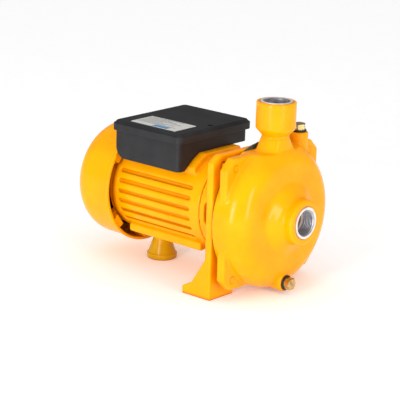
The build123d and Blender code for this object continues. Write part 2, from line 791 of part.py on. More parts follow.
with BuildPart() as rear_shield:
    add(ring(housing_end_x - shield_plate, housing_end_x, motor_radius - 1.0, 17.5))
    add(ring(housing_end_x, housing_end_x + 8, stator_radius, 46.5))
    add(ring(housing_end_x - shield_plate, rear_bearing_front_x, 23.0, 17.5))
    add(ring(housing_end_x - shield_plate, rear_bearing_back_x - 1.2, 17.5, 9.0))
    # five arms that reach the fan cover
    for arm_angle in (-90, -38, 38, 142, 218):
        arm_plane = Plane(
            origin=(0, 0, shaft_height),
            x_dir=(1, 0, 0),
            z_dir=(0, cos(radians(arm_angle)), sin(radians(arm_angle))),
        )
        with BuildSketch(arm_plane.offset(fan_cover_radius - fan_cover_wall - 8)):
            with Locations((housing_end_x + 1, 0)):
                Rectangle(arm_width, arm_width)
        extrude(amount=7.9)
        with BuildSketch(arm_plane.offset(arm_root_radius)):
            with Locations((housing_end_x - 3.5, 0)):
                Rectangle(7.0, arm_width)
        extrude(amount=fan_cover_radius - fan_cover_wall - arm_root_radius - 0.2)
    inside_radius = fan_cover_radius - fan_cover_wall - 0.2
    add(ring(housing_end_x - 20, housing_end_x + 20, 90.0, inside_radius), mode=Mode.SUBTRACT)
    add(cover_screw_holes(), mode=Mode.SUBTRACT)
    # vent holes in the shield and holes for the tie rods
    with BuildSketch(across.offset(housing_end_x - shield_plate)):
        with PolarLocations(35.0, 8, start_angle=22.5):
            SlotOverall(14.0, 7.0, rotation=90)
    extrude(amount=shield_plate, mode=Mode.SUBTRACT)
    add(tie_rod_holes(housing_end_x - shield_plate, housing_end_x), mode=Mode.SUBTRACT)
finish(rear_shield.part, "rear_shield")

# ---------------------------------------------------------------- fan and fan cover
fan_hub_end_x = -190.0
fan_hub_radius = 14.0
fan_disc_back_x = -177.0
fan_disc_radius = 60.0
fan_blade_end_x = -200.0
fan_blade_count = 8
fan_blade_thickness = 2.2
fan_blade_inner_radius = 18.0
fan_blade_length = fan_disc_radius - fan_blade_inner_radius
fan_eye_radius = 24.0
with BuildPart() as fan:
    add(ring(fan_hub_end_x, fan_seat_x - 1, fan_hub_radius, 7.1))
    add(ring(fan_disc_back_x, fan_seat_x - 5, fan_disc_radius, fan_hub_radius))
    with BuildSketch(across.offset(fan_blade_end_x)):
        with PolarLocations(fan_blade_inner_radius + fan_blade_length / 2, fan_blade_count):
            Rectangle(fan_blade_length, fan_blade_thickness)
    extrude(amount=fan_disc_back_x - fan_blade_end_x)
    add(ring(fan_blade_end_x - 1, fan_hub_end_x + 0.1, fan_eye_radius), mode=Mode.SUBTRACT)
finish(fan.part, "fan")

with BuildPart() as fan_clip:
    add(ring(fan_hub_end_x + 2, fan_hub_end_x + 6, fan_hub_radius + 1.4, fan_hub_radius))
finish(fan_clip.part, "fan_clip")

fan_corner_radius = 32.0
with BuildPart() as fan_cover:
    # deep drawn cup with a wide rounded corner and a rolled bead at its open lip
    with BuildSketch(along):
        with BuildLine():
            FilletPolyline(
                (fan_cover_end_x, 0),
                (fan_cover_end_x, fan_cover_radius - 0.8),
                (fan_cover_lip_x - 6, fan_cover_radius),
                (fan_cover_lip_x - 4, fan_cover_radius + 1.8),
                (fan_cover_lip_x, fan_cover_radius + 1.8),
                (fan_cover_lip_x, fan_cover_radius - fan_cover_wall),
                (fan_cover_end_x + fan_cover_wall, fan_cover_radius - fan_cover_wall),
                (fan_cover_end_x + fan_cover_wall, 0),
                close=True,
                radius=(0, fan_corner_radius, 2.0, 1.0, 1.0, 0.5, fan_corner_radius - fan_cover_wall, 0),
            )
        make_face()
    revolve(axis=shaft_axis)
    # air slots in three rings on the flat rear face
    for slot_ring, slots in ((14.0, 6), (24.0, 10), (34.0, 14)):
        with BuildSketch(across.offset(fan_cover_end_x - 1)):
            with PolarLocations(slot_ring, slots):
                SlotOverall(11.0, 4.2, rotation=90)
        extrude(amount=8.0, mode=Mode.SUBTRACT)
    add(cover_screw_holes(), mode=Mode.SUBTRACT)
finish(fan_cover.part, "fan_cover")

with BuildPart() as fan_cover_screws:
    for screw_angle in cover_screw_angles:
        screw_plane = cover_screw_plane(screw_angle, fan_cover_radius + 0.1)
        add(pan_screw(screw_plane, 3.8, 2.4, cover_screw_radius, 8.0))
finish(fan_cover_screws.part, "fan_cover_screws")

# ---------------------------------------------------------------- rear foot
foot_neck_z = 34.0
foot_screw_head_z = 24.0
foot_screw_radius = 2.95
with BuildPart() as rear_foot:
    foot_side = Plane(origin=(rear_foot_x, 0, 0), x_dir=(1, 0, 0), z_dir=(0, -1, 0))
    with BuildSketch(foot_side):
        with BuildLine():
            FilletPolyline(
                (0, 0),
                (19.0, 0),
                (19.6, 6.5),
                (17.8, 8.0),
                (11.7, 25.5),
                (11.2, foot_neck_z),
                (0, foot_neck_z),
                close=True,
                radius=(0, 1.2, 1.2, 1.0, 4.0, 0.5, 0),
            )
        make_face()
    revolve(axis=Axis((rear_foot_x, 0, 0), (0, 0, 1)))
    add(post(rear_foot_x, 0, 0, foot_screw_head_z, 6.2), mode=Mode.SUBTRACT)
    add(post(rear_foot_x, 0, foot_screw_head_z, foot_neck_z, foot_screw_radius + 0.15), mode=Mode.SUBTRACT)
finish(rear_foot.part, "rear_foot")

with BuildPart() as rear_foot_screw:
    foot_screw_plane = Plane(origin=(rear_foot_x, 0, foot_screw_head_z), x_dir=(1, 0, 0), z_dir=(0, 0, -1))
    add(bolt(foot_screw_plane, 10.0, 4.0, foot_screw_radius, 18.0))
finish(rear_foot_screw.part, "rear_foot_screw")

# ---------------------------------------------------------------- terminal box
box_middle_x = (box_back_x + box_front_x) / 2
box_length = box_front_x - box_back_x
lid_screw_x = box_front_x - 6.5
lid_post_r = 4.5
lid_post_tip_r = 3.3
saddle_radius = 69.0
gland_x = -103.0
gland_z = 168.0
gland_hole_radius = 5.05
earth_screw_x = -130.0
earth_screw_y = 30.0


def box_solid(gap, corner_radius, skirt_corner_radius, top_z):
    """The solid form of the terminal box, drawn inwards from the outer walls by gap."""
    side = box_half_width - gap
    floor_z = box_floor_z + gap
    skirt_z = box_skirt_z + gap
    saddle = saddle_radius + gap
    skirt_start = -sqrt(saddle**2 - (floor_z - shaft_height) ** 2)
    skirt_end = -sqrt(saddle**2 - (skirt_z - shaft_height) ** 2)
    middle_angle = radians(127.5)
    start_x = box_back_x + gap
    end_x = box_front_x - gap
    with BuildPart() as form:
        with BuildSketch(Plane.YZ.offset(start_x - 5)):
            with BuildLine():
                Polyline(
                    (skirt_end, skirt_z),
                    (-side, skirt_z),
                    (-side, top_z),
                    (side, top_z),
                    (side, floor_z),
                    (skirt_start, floor_z),
                )
                ThreePointArc(
                    (skirt_start, floor_z),
                    (saddle * cos(middle_angle), shaft_height + saddle * sin(middle_angle)),
                    (skirt_end, skirt_z),
                )
            make_face()
        extrude(amount=end_x - start_x + 10)
        # seen from the side, the skirt's lower rear corner is a large quarter round
        with BuildSketch(Plane.XZ):
            with BuildLine():
                FilletPolyline(
                    (start_x, skirt_z - 1),
                    (start_x, top_z + 1),
                    (end_x, top_z + 1),
                    (end_x, skirt_z - 1),
                    close=True,
                    radius=(skirt_corner_radius, 0, 0, 0),
                )
            make_face()
        extrude(amount=2 * side, both=True, mode=Mode.INTERSECT)
        uprights = form.edges().filter_by(Axis.Z).group_by(SortBy.LENGTH)
        fillet(uprights[0] + uprights[-1], corner_radius)
        # the edge that runs down the rear corner and round the skirt is only lightly broken
        rear_edge = form.edges().filter_by(Axis.Z).sort_by(Axis.Y)[0]
        fillet(rear_edge, 1.5)
    return form.part


with BuildPart() as terminal_box:
    add(box_solid(0, 6.0, 16.0, box_rim_z))
    add(box_solid(box_wall, 3.0, 13.0, box_rim_z + 1), mode=Mode.SUBTRACT)
    # screw pillars for the lid and the box, and the cable entry on the far side
    add(post(lid_screw_x, 0, box_floor_z, box_rim_z, lid_post_r))
    add(post(lid_screw_x, 0, box_rim_z - 1, box_rim_z + 6, lid_post_tip_r))
    add(post(lid_screw_x, 0, box_floor_z + 4, box_rim_z + 7, 1.6), mode=Mode.SUBTRACT)
    for x, y in box_screw_places:
        add(post(x, y, box_floor_z - 1, box_floor_z + box_wall + 1, 2.2), mode=Mode.SUBTRACT)
    add(post(earth_screw_x, earth_screw_y, box_floor_z, box_floor_z + box_wall, 1.95), mode=Mode.SUBTRACT)
    with BuildSketch(Plane.XZ.offset(-box_half_width + 5)):
        with Locations((gland_x, gland_z)):
            Circle(gland_hole_radius)
    extrude(amount=-10, mode=Mode.SUBTRACT)
finish(terminal_box.part, "terminal_box")

lid_bottom_z = box_rim_z + 1.0
lid_skin = 2.6
lid_recess_depth = 3.4
lid_step_z = 184.0
lid_length = box_length + 2 * lid_overhang
lid_width = 2 * (box_half_width + lid_overhang)
with BuildPart() as terminal_box_lid:
    with BuildSketch(Plane.XY.offset(lid_bottom_z)):
        with Locations((box_middle_x, 0)):
            RectangleRounded(lid_length, lid_width, 8.0)
    extrude(amount=lid_step_z - lid_bottom_z)
    with BuildSketch(Plane.XY.offset(lid_step_z)):
        with Locations((box_middle_x, 0)):
            RectangleRounded(lid_length - 2.4, lid_width - 2.4, 7.0)
    extrude(amount=lid_top_z - lid_step_z)
    chamfer(terminal_box_lid.faces().sort_by(Axis.Z)[-1].edges(), 3.2)
    fillet(terminal_box_lid.faces().sort_by(Axis.Z)[0].edges(), 1.0)
    with BuildSketch(Plane.XY.offset(lid_bottom_z)):
        with Locations((box_middle_x, 0)):
            RectangleRounded(box_length - 2 * box_wall + 2, 2 * box_half_width - 2 * box_wall + 2, 4.0)
    extrude(amount=lid_top_z - lid_skin - lid_bottom_z, mode=Mode.SUBTRACT)
    # sunk hole of the lid screw
    add(post(lid_screw_x, 0, box_rim_z + 6.1, lid_top_z - 1, 5.0))
    add(post(lid_screw_x, 0, lid_top_z - lid_recess_depth, lid_top_z + 1, 3.6), mode=Mode.SUBTRACT)
    add(post(lid_screw_x, 0, lid_bottom_z, lid_top_z, 2.0), mode=Mode.SUBTRACT)
finish(terminal_box_lid.part, "terminal_box_lid")

with BuildPart() as lid_gasket:
    with BuildSketch(Plane.XY.offset(box_rim_z)):
        with Locations((box_middle_x, 0)):
            RectangleRounded(box_length, 2 * box_half_width, 6.0)
            RectangleRounded(
                box_length - 2 * box_wall, 2 * box_half_width - 2 * box_wall, 3.0, mode=Mode.SUBTRACT
            )
    extrude(amount=lid_bottom_z - box_rim_z)
finish(lid_gasket.part, "lid_gasket")

with BuildPart() as lid_screw:
    add(pan_screw(Plane((lid_screw_x, 0, lid_top_z - lid_recess_depth)), 3.4, 1.9, 1.55, 12.0))
finish(lid_screw.part, "lid_screw")

nameplate_length = 74.0
nameplate_width = 40.0
with BuildPart() as nameplate:
    with BuildSketch(Plane.XY.offset(lid_top_z)):
        with Locations((-99.0, -37.5)):
            RectangleRounded(nameplate_length, nameplate_width, 1.5)
    extrude(amount=0.4)
finish(nameplate.part, "nameplate")

with BuildPart() as box_screws:
    for x, y in box_screw_places:
        add(pan_screw(Plane((x, y, box_floor_z + box_wall)), 3.6, 2.4, 1.95, 9.5))
finish(box_screws.part, "box_screws")

capacitor_radius = 13.2
capacitor_y = -46.6
capacitor_z = 169.4
capacitor_start_x = -140.0
capacitor_length = 68.0
capacitor_end = Plane(
    origin=(capacitor_start_x, capacitor_y, capacitor_z), x_dir=(0, 1, 0), z_dir=(1, 0, 0)
)
with BuildPart() as run_capacitor:
    with BuildSketch(capacitor_end):
        Circle(capacitor_radius)
    extrude(amount=capacitor_length)
    fillet(run_capacitor.edges(), 1.5)
    with BuildSketch(capacitor_end.offset(capacitor_length)):
        with Locations((-6, 0), (6, 0)):
            Rectangle(0.8, 6.3)
    extrude(amount=8.0)
finish(run_capacitor.part, "run_capacitor")

with BuildPart() as capacitor_clip:
    with BuildSketch(capacitor_end.offset(capacitor_length / 2 - 5)):
        Circle(capacitor_radius + 1.0)
        Circle(capacitor_radius, mode=Mode.SUBTRACT)
        with Locations((0, capacitor_radius)):
            Rectangle(12.0, 6.0, mode=Mode.SUBTRACT)
    extrude(amount=10.0)
finish(capacitor_clip.part, "capacitor_clip")

block_x = -84.0
block_y = 38.0
terminal_places = [(block_x - 24.0 + 12.0 * step, block_y) for step in range(5)]
with BuildPart() as terminal_block:
    with BuildSketch(Plane.XY.offset(box_floor_z + box_wall)):
        with Locations((block_x, block_y)):
            RectangleRounded(64.0, 22.0, 2.0)
    extrude(amount=9.0)
    with BuildSketch(Plane.XY.offset(box_floor_z + box_wall + 5.0)):
        with Locations(*terminal_places):
            Rectangle(9.0, 24.0)
    extrude(amount=6.0, mode=Mode.SUBTRACT)
    for x, y in terminal_places:
        add(post(x, y, box_floor_z + box_wall + 0.5, box_floor_z + box_wall + 6, 1.6), mode=Mode.SUBTRACT)
finish(terminal_block.part, "terminal_block")

with BuildPart() as terminal_screws:
    for x, y in terminal_places:
        add(pan_screw(Plane((x, y, box_floor_z + box_wall + 5.0)), 3.2, 2.2, 1.5, 4.0))
finish(terminal_screws.part, "terminal_screws")

with BuildPart() as earth_screw:
    add(pan_screw(Plane((earth_screw_x, earth_screw_y, box_floor_z + box_wall)), 4.0, 2.4, 1.9, 2.6))
finish(earth_screw.part, "earth_screw")

# ---------------------------------------------------------------- cable gland
gland_bore_radius = 3.2
gland_tube_radius = 4.1
gland_collar_radius = 5.4
gland_inner_length = 9.0
gland_cap_start = 4.4
gland_cap_end = 12.4
gland_plane = Plane(origin=(gland_x, box_half_width, gland_z), x_dir=(1, 0, 0), z_dir=(0, 1, 0))
with BuildPart() as cable_gland:
    with BuildSketch(gland_plane):
        RegularPolygon(6.4, 6, major_radius=False)
    extrude(amount=4.0)
    with BuildSketch(gland_plane.offset(4.0)):
        Circle(gland_collar_radius)
    extrude(amount=6.0)
    with BuildSketch(gland_plane):
        Circle(gland_hole_radius - 0.05)
    extrude(amount=-gland_inner_length)
    with BuildSketch(gland_plane.offset(-gland_inner_length)):
        Circle(gland_tube_radius)
    extrude(amount=gland_inner_length + 10.0, mode=Mode.SUBTRACT)
finish(cable_gland.part, "cable_gland")

with BuildPart() as gland_locknut:
    with BuildSketch(gland_plane.offset(-box_wall - 3.0)):
        RegularPolygon(5.9, 6, major_radius=False)
        Circle(gland_hole_radius, mode=Mode.SUBTRACT)
    extrude(amount=3.0)
finish(gland_locknut.part, "gland_locknut")

with BuildPart() as gland_seal:
    with BuildSketch(gland_plane.offset(1.0)):
        Circle(gland_tube_radius)
        Circle(gland_bore_radius, mode=Mode.SUBTRACT)
    extrude(amount=11.0)
finish(gland_seal.part, "gland_seal")

with BuildPart() as gland_cap:
    with BuildSketch(gland_plane.offset(gland_cap_start)):
        RegularPolygon(6.4, 6, major_radius=False)
    extrude(amount=gland_cap_end - gland_cap_start)
    with BuildSketch(gland_plane.offset(gland_cap_end)):
        Circle(6.2)
    extrude(amount=2.4, taper=30)
    with BuildSketch(gland_plane.offset(gland_cap_start)):
        Circle(gland_collar_radius)
    extrude(amount=7.6, mode=Mode.SUBTRACT)
    with BuildSketch(gland_plane.offset(11.0)):
        Circle(gland_bore_radius + 0.4)
    extrude(amount=5.0, mode=Mode.SUBTRACT)
finish(gland_cap.part, "gland_cap")

# ---------------------------------------------------------------- tie rods
with BuildPart() as tie_rods:
    for rod_angle in tie_rod_angles:
        rod_plane = Plane(
            origin=(
                housing_end_x - shield_plate,
                tie_rod_circle * cos(radians(rod_angle)),
                shaft_height + tie_rod_circle * sin(radians(rod_angle)),
            ),
            x_dir=(0, 1, 0),
            z_dir=(-1, 0, 0),
        )
        rod_length = tie_rod_thread_end_x + 3 - housing_end_x
        add(bolt(rod_plane, 8.0, 3.5, tie_rod_radius - 0.05, rod_length))
finish(tie_rods.part, "tie_rods")
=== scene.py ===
"""Looks of a close-coupled centrifugal water pump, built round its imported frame.

The frame's shaft lies along X with the suction port at +X, the delivery port points up, and
the feet stand on z = 0. Sizes below are in millimetres and turned to metres by MM.
"""

import json
import logging
import math
from dataclasses import dataclass, field, replace
from enum import Enum

import bmesh
import bpy
import numpy as np
from mathutils import Matrix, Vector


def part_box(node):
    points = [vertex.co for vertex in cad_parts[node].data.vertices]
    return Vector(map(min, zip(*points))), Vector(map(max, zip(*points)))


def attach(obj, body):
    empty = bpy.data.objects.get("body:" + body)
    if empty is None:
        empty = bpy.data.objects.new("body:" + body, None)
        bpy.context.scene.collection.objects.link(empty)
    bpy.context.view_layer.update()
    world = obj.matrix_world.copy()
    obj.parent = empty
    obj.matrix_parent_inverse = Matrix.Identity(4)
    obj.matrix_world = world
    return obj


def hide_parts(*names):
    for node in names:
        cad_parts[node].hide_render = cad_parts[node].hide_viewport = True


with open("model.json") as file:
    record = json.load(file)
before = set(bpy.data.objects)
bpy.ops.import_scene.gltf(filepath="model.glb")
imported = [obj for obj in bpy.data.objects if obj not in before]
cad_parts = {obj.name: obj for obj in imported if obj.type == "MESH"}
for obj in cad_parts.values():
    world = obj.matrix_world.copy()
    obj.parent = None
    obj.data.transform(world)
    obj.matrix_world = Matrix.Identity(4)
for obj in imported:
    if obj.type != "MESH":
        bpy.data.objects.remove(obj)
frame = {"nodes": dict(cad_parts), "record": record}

MM = 0.001
SHAFT_HEIGHT = 95.5
DISCHARGE_X = 48.0

Point = tuple[float, float, float]
Colour = tuple[float, float, float, float]
Span = tuple[float, float]
Tree = bpy.types.NodeTree
Node = bpy.types.Node
Socket = bpy.types.NodeSocket

WHITE: Colour = (1.0, 1.0, 1.0, 1.0)
FULL: Span = (0.0, 1.0)
# Nearly all values of a noise texture lie in this range.
NOISE_SPAN: Span = (0.3, 0.7)
# The Wave texture's bands are this far apart, in metres, at a scale of one.
WAVE_PERIOD = 2 * math.pi / 20
# Triangles of a CAD mesh share no points; points nearer than this are joined.
MERGE_MM = 0.002
# Shading data of a CAD mesh that a reshaped copy must not keep.
CAD_SHADING = ("custom_normal", "sharp_face", "sharp_edge")
# A box from six numbers, low x, y, z then high x, y, z: which three make each corner, and its sides.
BOX_CORNERS = np.array(
    [[0, 1, 2], [3, 1, 2], [3, 4, 2], [0, 4, 2], [0, 1, 5], [3, 1, 5], [3, 4, 5], [0, 4, 5]]
)
BOX_SIDES = np.array(
    [[0, 3, 2, 1], [4, 5, 6, 7], [0, 1, 5, 4], [1, 2, 6, 5], [2, 3, 7, 6], [3, 0, 4, 7]]
)

logging.basicConfig(level=logging.INFO, format="%(message)s")
log = logging.getLogger("pump")


# ---------------------------------------------------------------- shader helpers
def linear(code: str) -> Colour:
    """Turns an sRGB hex colour to linear light.

    Args:
        code: Six hex digits, such as "feba01".

    Returns:
        Linear red, green, blue and an alpha of one.
    """
    values = [int(code[i : i + 2], 16) / 255 for i in (0, 2, 4)]
    curve = [v / 12.92 if v <= 0.04045 else ((v + 0.055) / 1.055) ** 2.4 for v in values]
    return (*curve, 1.0)


def add_node(tree: Tree, kind: str, inputs: dict | None = None, **settings) -> Node:
    """Adds a node, sets its properties, and fills or links its inputs.

    Args:
        tree: The material's node tree.
        kind: The node's type name without the ShaderNode prefix.
        inputs: For each input's name or number, a value, or an output socket to link.
        **settings: Properties of the node itself.

    Returns:
        The new node.
    """
    node = tree.nodes.new("ShaderNode" + kind)
    for name, value in settings.items():
        setattr(node, name, value)
    for name, value in (inputs or {}).items():
        if isinstance(value, Socket):
            tree.links.new(value, node.inputs[name])
        else:
            node.inputs[name].default_value = value
    return node


def per_metre(size_mm: float) -> float:
    """The texture scale whose features are about size_mm across."""
    return 1.0 / (size_mm * MM)


def per_band(size_mm: float) -> float:
    """The Wave texture scale whose bands are size_mm apart."""
    return WAVE_PERIOD * per_metre(size_mm)


def noise(tree: Tree, vector: Socket, size_mm: float, detail: float) -> Socket:
    """Adds cloudy noise with features of a real size.

    Args:
        tree: The material's node tree.
        vector: Where the pattern is read.
        size_mm: How large one feature is.
        detail: How many finer layers are in it.

    Returns:
        The noise's value output, about 0.3 to 0.7.
    """
    made = add_node(tree, "TexNoise", {"Vector": vector, "Scale": per_metre(size_mm), "Detail": detail})
    return made.outputs[0]


def ramped(tree: Tree, value: Socket, span: Span, to: Span) -> Socket:
    """Maps one range of a value to another, held at its ends.

    Args:
        tree: The material's node tree.
        value: The value to map.
        span: The two values that give the new range's ends.
        to: The two ends of the new range.

    Returns:
        The mapped value's output.
    """
    # Sockets 0 to 4 are the value, the old range and the new range.
    inputs = {0: value, 1: span[0], 2: span[1], 3: to[0], 4: to[1]}
    return add_node(tree, "MapRange", inputs, clamp=True).outputs[0]


def blended(tree: Tree, share: Socket, first: Colour | Socket, second: Colour) -> Socket:
    """Blends two colours by a share.

    Args:
        tree: The material's node tree.
        share: How much of the second colour shows, 0 to 1.
        first: The first colour, or an output that gives it.
        second: The second colour.

    Returns:
        The blend's colour output.
    """
    # The Mix node repeats its sockets for each kind of data; 6, 7 and output 2 are the colours.
    made = add_node(tree, "Mix", {0: share, 6: first, 7: second}, data_type="RGBA")
    return made.outputs[2]


def bumped(tree: Tree, layers: list[tuple[Socket, float]]) -> Socket:
    """Stacks bump layers, each with a real depth.

    Args:
        tree: The material's node tree.
        layers: Height outputs, each with its depth in millimetres.

    Returns:
        The last bump's normal output.
    """
    normal = None
    for height, depth_mm in layers:
        inputs = {"Height": height, "Distance": depth_mm * MM, "Strength": 1.0}
        if normal is not None:
            inputs["Normal"] = normal
        normal = add_node(tree, "Bump", inputs).outputs[0]
    return normal


def coloured(tree: Tree, shader: Node, share: Socket, first: str, second: str) -> None:
    """Gives the shader a blend of two hex colours.

    Args:
        tree: The material's node tree.
        shader: The Principled shader.
        share: How much of the second colour shows.
        first: The first colour's hex code.
        second: The second colour's hex code.
    """
    colour = blended(tree, share, linear(first), linear(second))
    tree.links.new(colour, shader.inputs["Base Color"])


def roughened(tree: Tree, shader: Node, value: Socket, span: Span, to: Span) -> None:
    """Gives the shader a roughness that follows a value.

    Args:
        tree: The material's node tree.
        shader: The Principled shader.
        value: The value that the roughness follows.
        span: The value's range.
        to: The roughness at the two ends of that range.
    """
    tree.links.new(ramped(tree, value, span, to), shader.inputs["Roughness"])


def embossed(tree: Tree, shader: Node, layers: list[tuple[Socket, float]]) -> None:
    """Gives the shader a bump of stacked layers, each with its depth in millimetres."""
    tree.links.new(bumped(tree, layers), shader.inputs["Normal"])


class Axle(Enum):
    """The line that a turned surface was spun about: its direction and a point on it, in mm."""

    SHAFT = ("X", (0.0, 0.0, SHAFT_HEIGHT))
    DISCHARGE = ("Z", (DISCHARGE_X, 0.0, 0.0))
    FILL = ("Z", (44.0, 51.0, 0.0))
    DRAIN = ("X", (0.0, 0.0, 14.5))


def turned_vector(tree: Tree, coords: Socket, axle: Axle) -> Socket:
    """Coordinates of a turned surface: place along the axle, distance from it, and nothing round it.

    A pattern read at them repeats all round the axle, as the marks of a lathe tool do.

    Args:
        tree: The material's node tree.
        coords: The Object coordinates.
        axle: The line that the surface was spun about.

    Returns:
        The new vector's output.
    """
    direction, centre = axle.value
    place = [-c * MM for c in centre]
    moved = add_node(tree, "Mapping", {"Vector": coords, "Location": place}).outputs[0]
    split = add_node(tree, "SeparateXYZ", {0: moved}).outputs
    along, side, other = (0, 1, 2) if direction == "X" else (2, 0, 1)
    flat = add_node(tree, "CombineXYZ", {0: split[side], 1: split[other]}).outputs[0]
    radius = add_node(tree, "VectorMath", {0: flat}, operation="LENGTH").outputs["Value"]
    return add_node(tree, "CombineXYZ", {0: split[along], 1: radius}).outputs[0]


# ---------------------------------------------------------------- finishes
@dataclass(frozen=True)
class Finish:
    """A finish that is applied to pieces; each kind fills in its own shader."""

    name: str

    def shade(self, tree: Tree, shader: Node, coords: Socket) -> None:
        """Sets the shader up for this finish.

        Args:
            tree: The material's node tree.
            shader: The Principled shader.
            coords: The Object coordinates.
        """
        raise NotImplementedError

    def material(self) -> bpy.types.Material:
        """Makes the Blender material, once for each finish.

        Returns:
            The material of this name.
        """
        made = bpy.data.materials.get(self.name)
        if made is not None:
            return made
        made = bpy.data.materials.new(self.name)
        made.use_nodes = True
        tree = made.node_tree
        shader = next(n for n in tree.nodes if n.type == "BSDF_PRINCIPLED")
        coords = add_node(tree, "TexCoord").outputs["Object"]
        self.shade(tree, shader, coords)
        return made


@dataclass(frozen=True)
class Enamel(Finish):
    """Sprayed alkyd enamel: a clear gloss skin whose orange peel blurs what it mirrors.

    Over a sand casting the mould's slow waves and grit show through it; over drawn sheet or an
    extrusion only the peel does. It pools thicker and deeper in colour in slow patches. Grooves and
    inner corners, found by ambient occlusion, turn brown: painted shade for the light they lose.
    """

    colour: str
    pooled: str
    gloss_roughness: float
    peel_mm: float = 1.6
    peel_depth_mm: float = 0.012
    grit_mm: float = 0.0
    grit_depth_mm: float = 0.0
    wave_mm: float = 14.0
    wave_depth_mm: float = 0.0
    # Painted shade: hollows found by ambient occlusion within the reach take this dark brown, by up to
    # the share.
    painted_shade_colour: str = "a84f00"
    shade_reach_mm: float = 7.0
    shade_share: float = 0.8
    pool_mm: float = 38.0
    haze_mm: float = 9.0

    def shade(self, tree: Tree, shader: Node, coords: Socket) -> None:
        """Colour in pools, gloss from the peel, waves and grit from the mould."""
        pools = ramped(tree, noise(tree, coords, self.pool_mm, 2.0), (0.38, 0.66), FULL)
        open_colour = blended(tree, pools, linear(self.colour), linear(self.pooled))
        # Painted shade: where ambient occlusion finds a groove or inner corner, the colour turns to the
        # dark brown.
        reach = self.shade_reach_mm * MM
        open_share = add_node(tree, "AmbientOcclusion", {"Distance": reach}, samples=6).outputs["AO"]
        painted_shade = ramped(tree, open_share, (0.35, 0.9), (self.shade_share, 0.0))
        colour = blended(tree, painted_shade, open_colour, linear(self.painted_shade_colour))
        tree.links.new(colour, shader.inputs["Base Color"])
        haze = noise(tree, coords, self.haze_mm, 4.0)
        hazy = (self.gloss_roughness - 0.05, self.gloss_roughness + 0.07)
        roughened(tree, shader, haze, NOISE_SPAN, hazy)
        shader.inputs["IOR"].default_value = 1.45
        shader.inputs["Specular IOR Level"].default_value = 0.06
        shader.inputs["Coat Weight"].default_value = 0.22
        shader.inputs["Coat Roughness"].default_value = 0.13
        shader.inputs["Coat IOR"].default_value = 1.5
        layers = [(noise(tree, coords, self.peel_mm, 1.0), self.peel_depth_mm)]
        if self.wave_depth_mm > 0:
            layers.insert(0, (noise(tree, coords, self.wave_mm, 2.0), self.wave_depth_mm))
        if self.grit_depth_mm > 0:
            layers.insert(0, (noise(tree, coords, self.grit_mm, 3.0), self.grit_depth_mm))
        embossed(tree, shader, layers)


@dataclass(frozen=True)
class Moulded(Finish):
    """Injection moulded thermoplastic: the spark-eroded mould leaves an even matt grain."""

    colour: str
    lighter: str
    roughness: float
    grain_mm: float = 0.9
    grain_depth_mm: float = 0.02
    flow_mm: float = 26.0
    cloud_mm: float = 3.2
    cloud_share: float = 0.8

    def shade(self, tree: Tree, shader: Node, coords: Socket) -> None:
        """Even colour with faint flow clouds, a pebbled grain, and roughness that follows it."""
        flow = ramped(tree, noise(tree, coords, self.flow_mm, 3.0), (0.35, 0.7), FULL)
        coloured(tree, shader, flow, self.colour, self.lighter)
        inputs = {"Vector": coords, "Scale": per_metre(self.grain_mm)}
        pebble = add_node(tree, "TexVoronoi", inputs, feature="SMOOTH_F1").outputs["Distance"]
        roughened(tree, shader, pebble, (0.0, 0.8), (self.roughness - 0.05, self.roughness + 0.1))
        shader.inputs["IOR"].default_value = 1.5
        shader.inputs["Specular IOR Level"].default_value = 0.25
        cloud = noise(tree, coords, self.cloud_mm, 2.0)
        cloud_depth = self.grain_depth_mm * self.cloud_share
        embossed(tree, shader, [(cloud, cloud_depth), (pebble, self.grain_depth_mm)])


@dataclass(frozen=True)
class Turned(Finish):
    """Metal cut on a lathe: fine rings run round the axle, so highlights smear across them."""

    colour: str
    duller: str
    roughness: float
    axle: Axle
    feed_mm: float = 0.5
    cut_depth_mm: float = 0.006
    metal: float = 1.0
    stain_mm: float = 6.0

    def shade(self, tree: Tree, shader: Node, coords: Socket) -> None:
        """Tool rings as bump and as roughness, with light handling stains."""
        rings = noise(tree, turned_vector(tree, coords, self.axle), self.feed_mm, 2.0)
        stain = ramped(tree, noise(tree, coords, self.stain_mm, 4.0), (0.4, 0.7), FULL)
        coloured(tree, shader, stain, self.colour, self.duller)
        roughened(tree, shader, rings, NOISE_SPAN, (self.roughness - 0.06, self.roughness + 0.08))
        shader.inputs["Metallic"].default_value = self.metal
        embossed(tree, shader, [(rings, self.cut_depth_mm)])


@dataclass(frozen=True)
class Plated(Finish):
    """Zinc or nickel plate on pressed and headed steel: a soft grey sheen with cloudy passivation."""

    colour: str
    cloud: str
    roughness: float
    cloud_mm: float = 4.0
    skin_mm: float = 0.7
    skin_depth_mm: float = 0.008

    def shade(self, tree: Tree, shader: Node, coords: Socket) -> None:
        """Clouds in colour and roughness over a faint skin."""
        clouds = ramped(tree, noise(tree, coords, self.cloud_mm, 4.0), (0.35, 0.68), FULL)
        coloured(tree, shader, clouds, self.colour, self.cloud)
        roughened(tree, shader, clouds, FULL, (self.roughness - 0.04, self.roughness + 0.08))
        shader.inputs["Metallic"].default_value = 1.0
        skin = noise(tree, coords, self.skin_mm, 2.0)
        embossed(tree, shader, [(skin, self.skin_depth_mm)])


@dataclass(frozen=True)
class Cast(Finish):
    """Bare cast metal: a dull grey or golden skin with the mould's grit all over."""

    colour: str
    darker: str
    roughness: float
    grit_mm: float = 1.1
    grit_depth_mm: float = 0.05

    def shade(self, tree: Tree, shader: Node, coords: Socket) -> None:
        """Gritty bump with darker metal in its hollows."""
        grit = noise(tree, coords, self.grit_mm, 4.0)
        hollows = ramped(tree, grit, (0.35, 0.6), (1.0, 0.0))
        coloured(tree, shader, hollows, self.colour, self.darker)
        roughened(tree, shader, grit, NOISE_SPAN, (self.roughness + 0.1, self.roughness - 0.05))
        shader.inputs["Metallic"].default_value = 1.0
        embossed(tree, shader, [(grit, self.grit_depth_mm)])


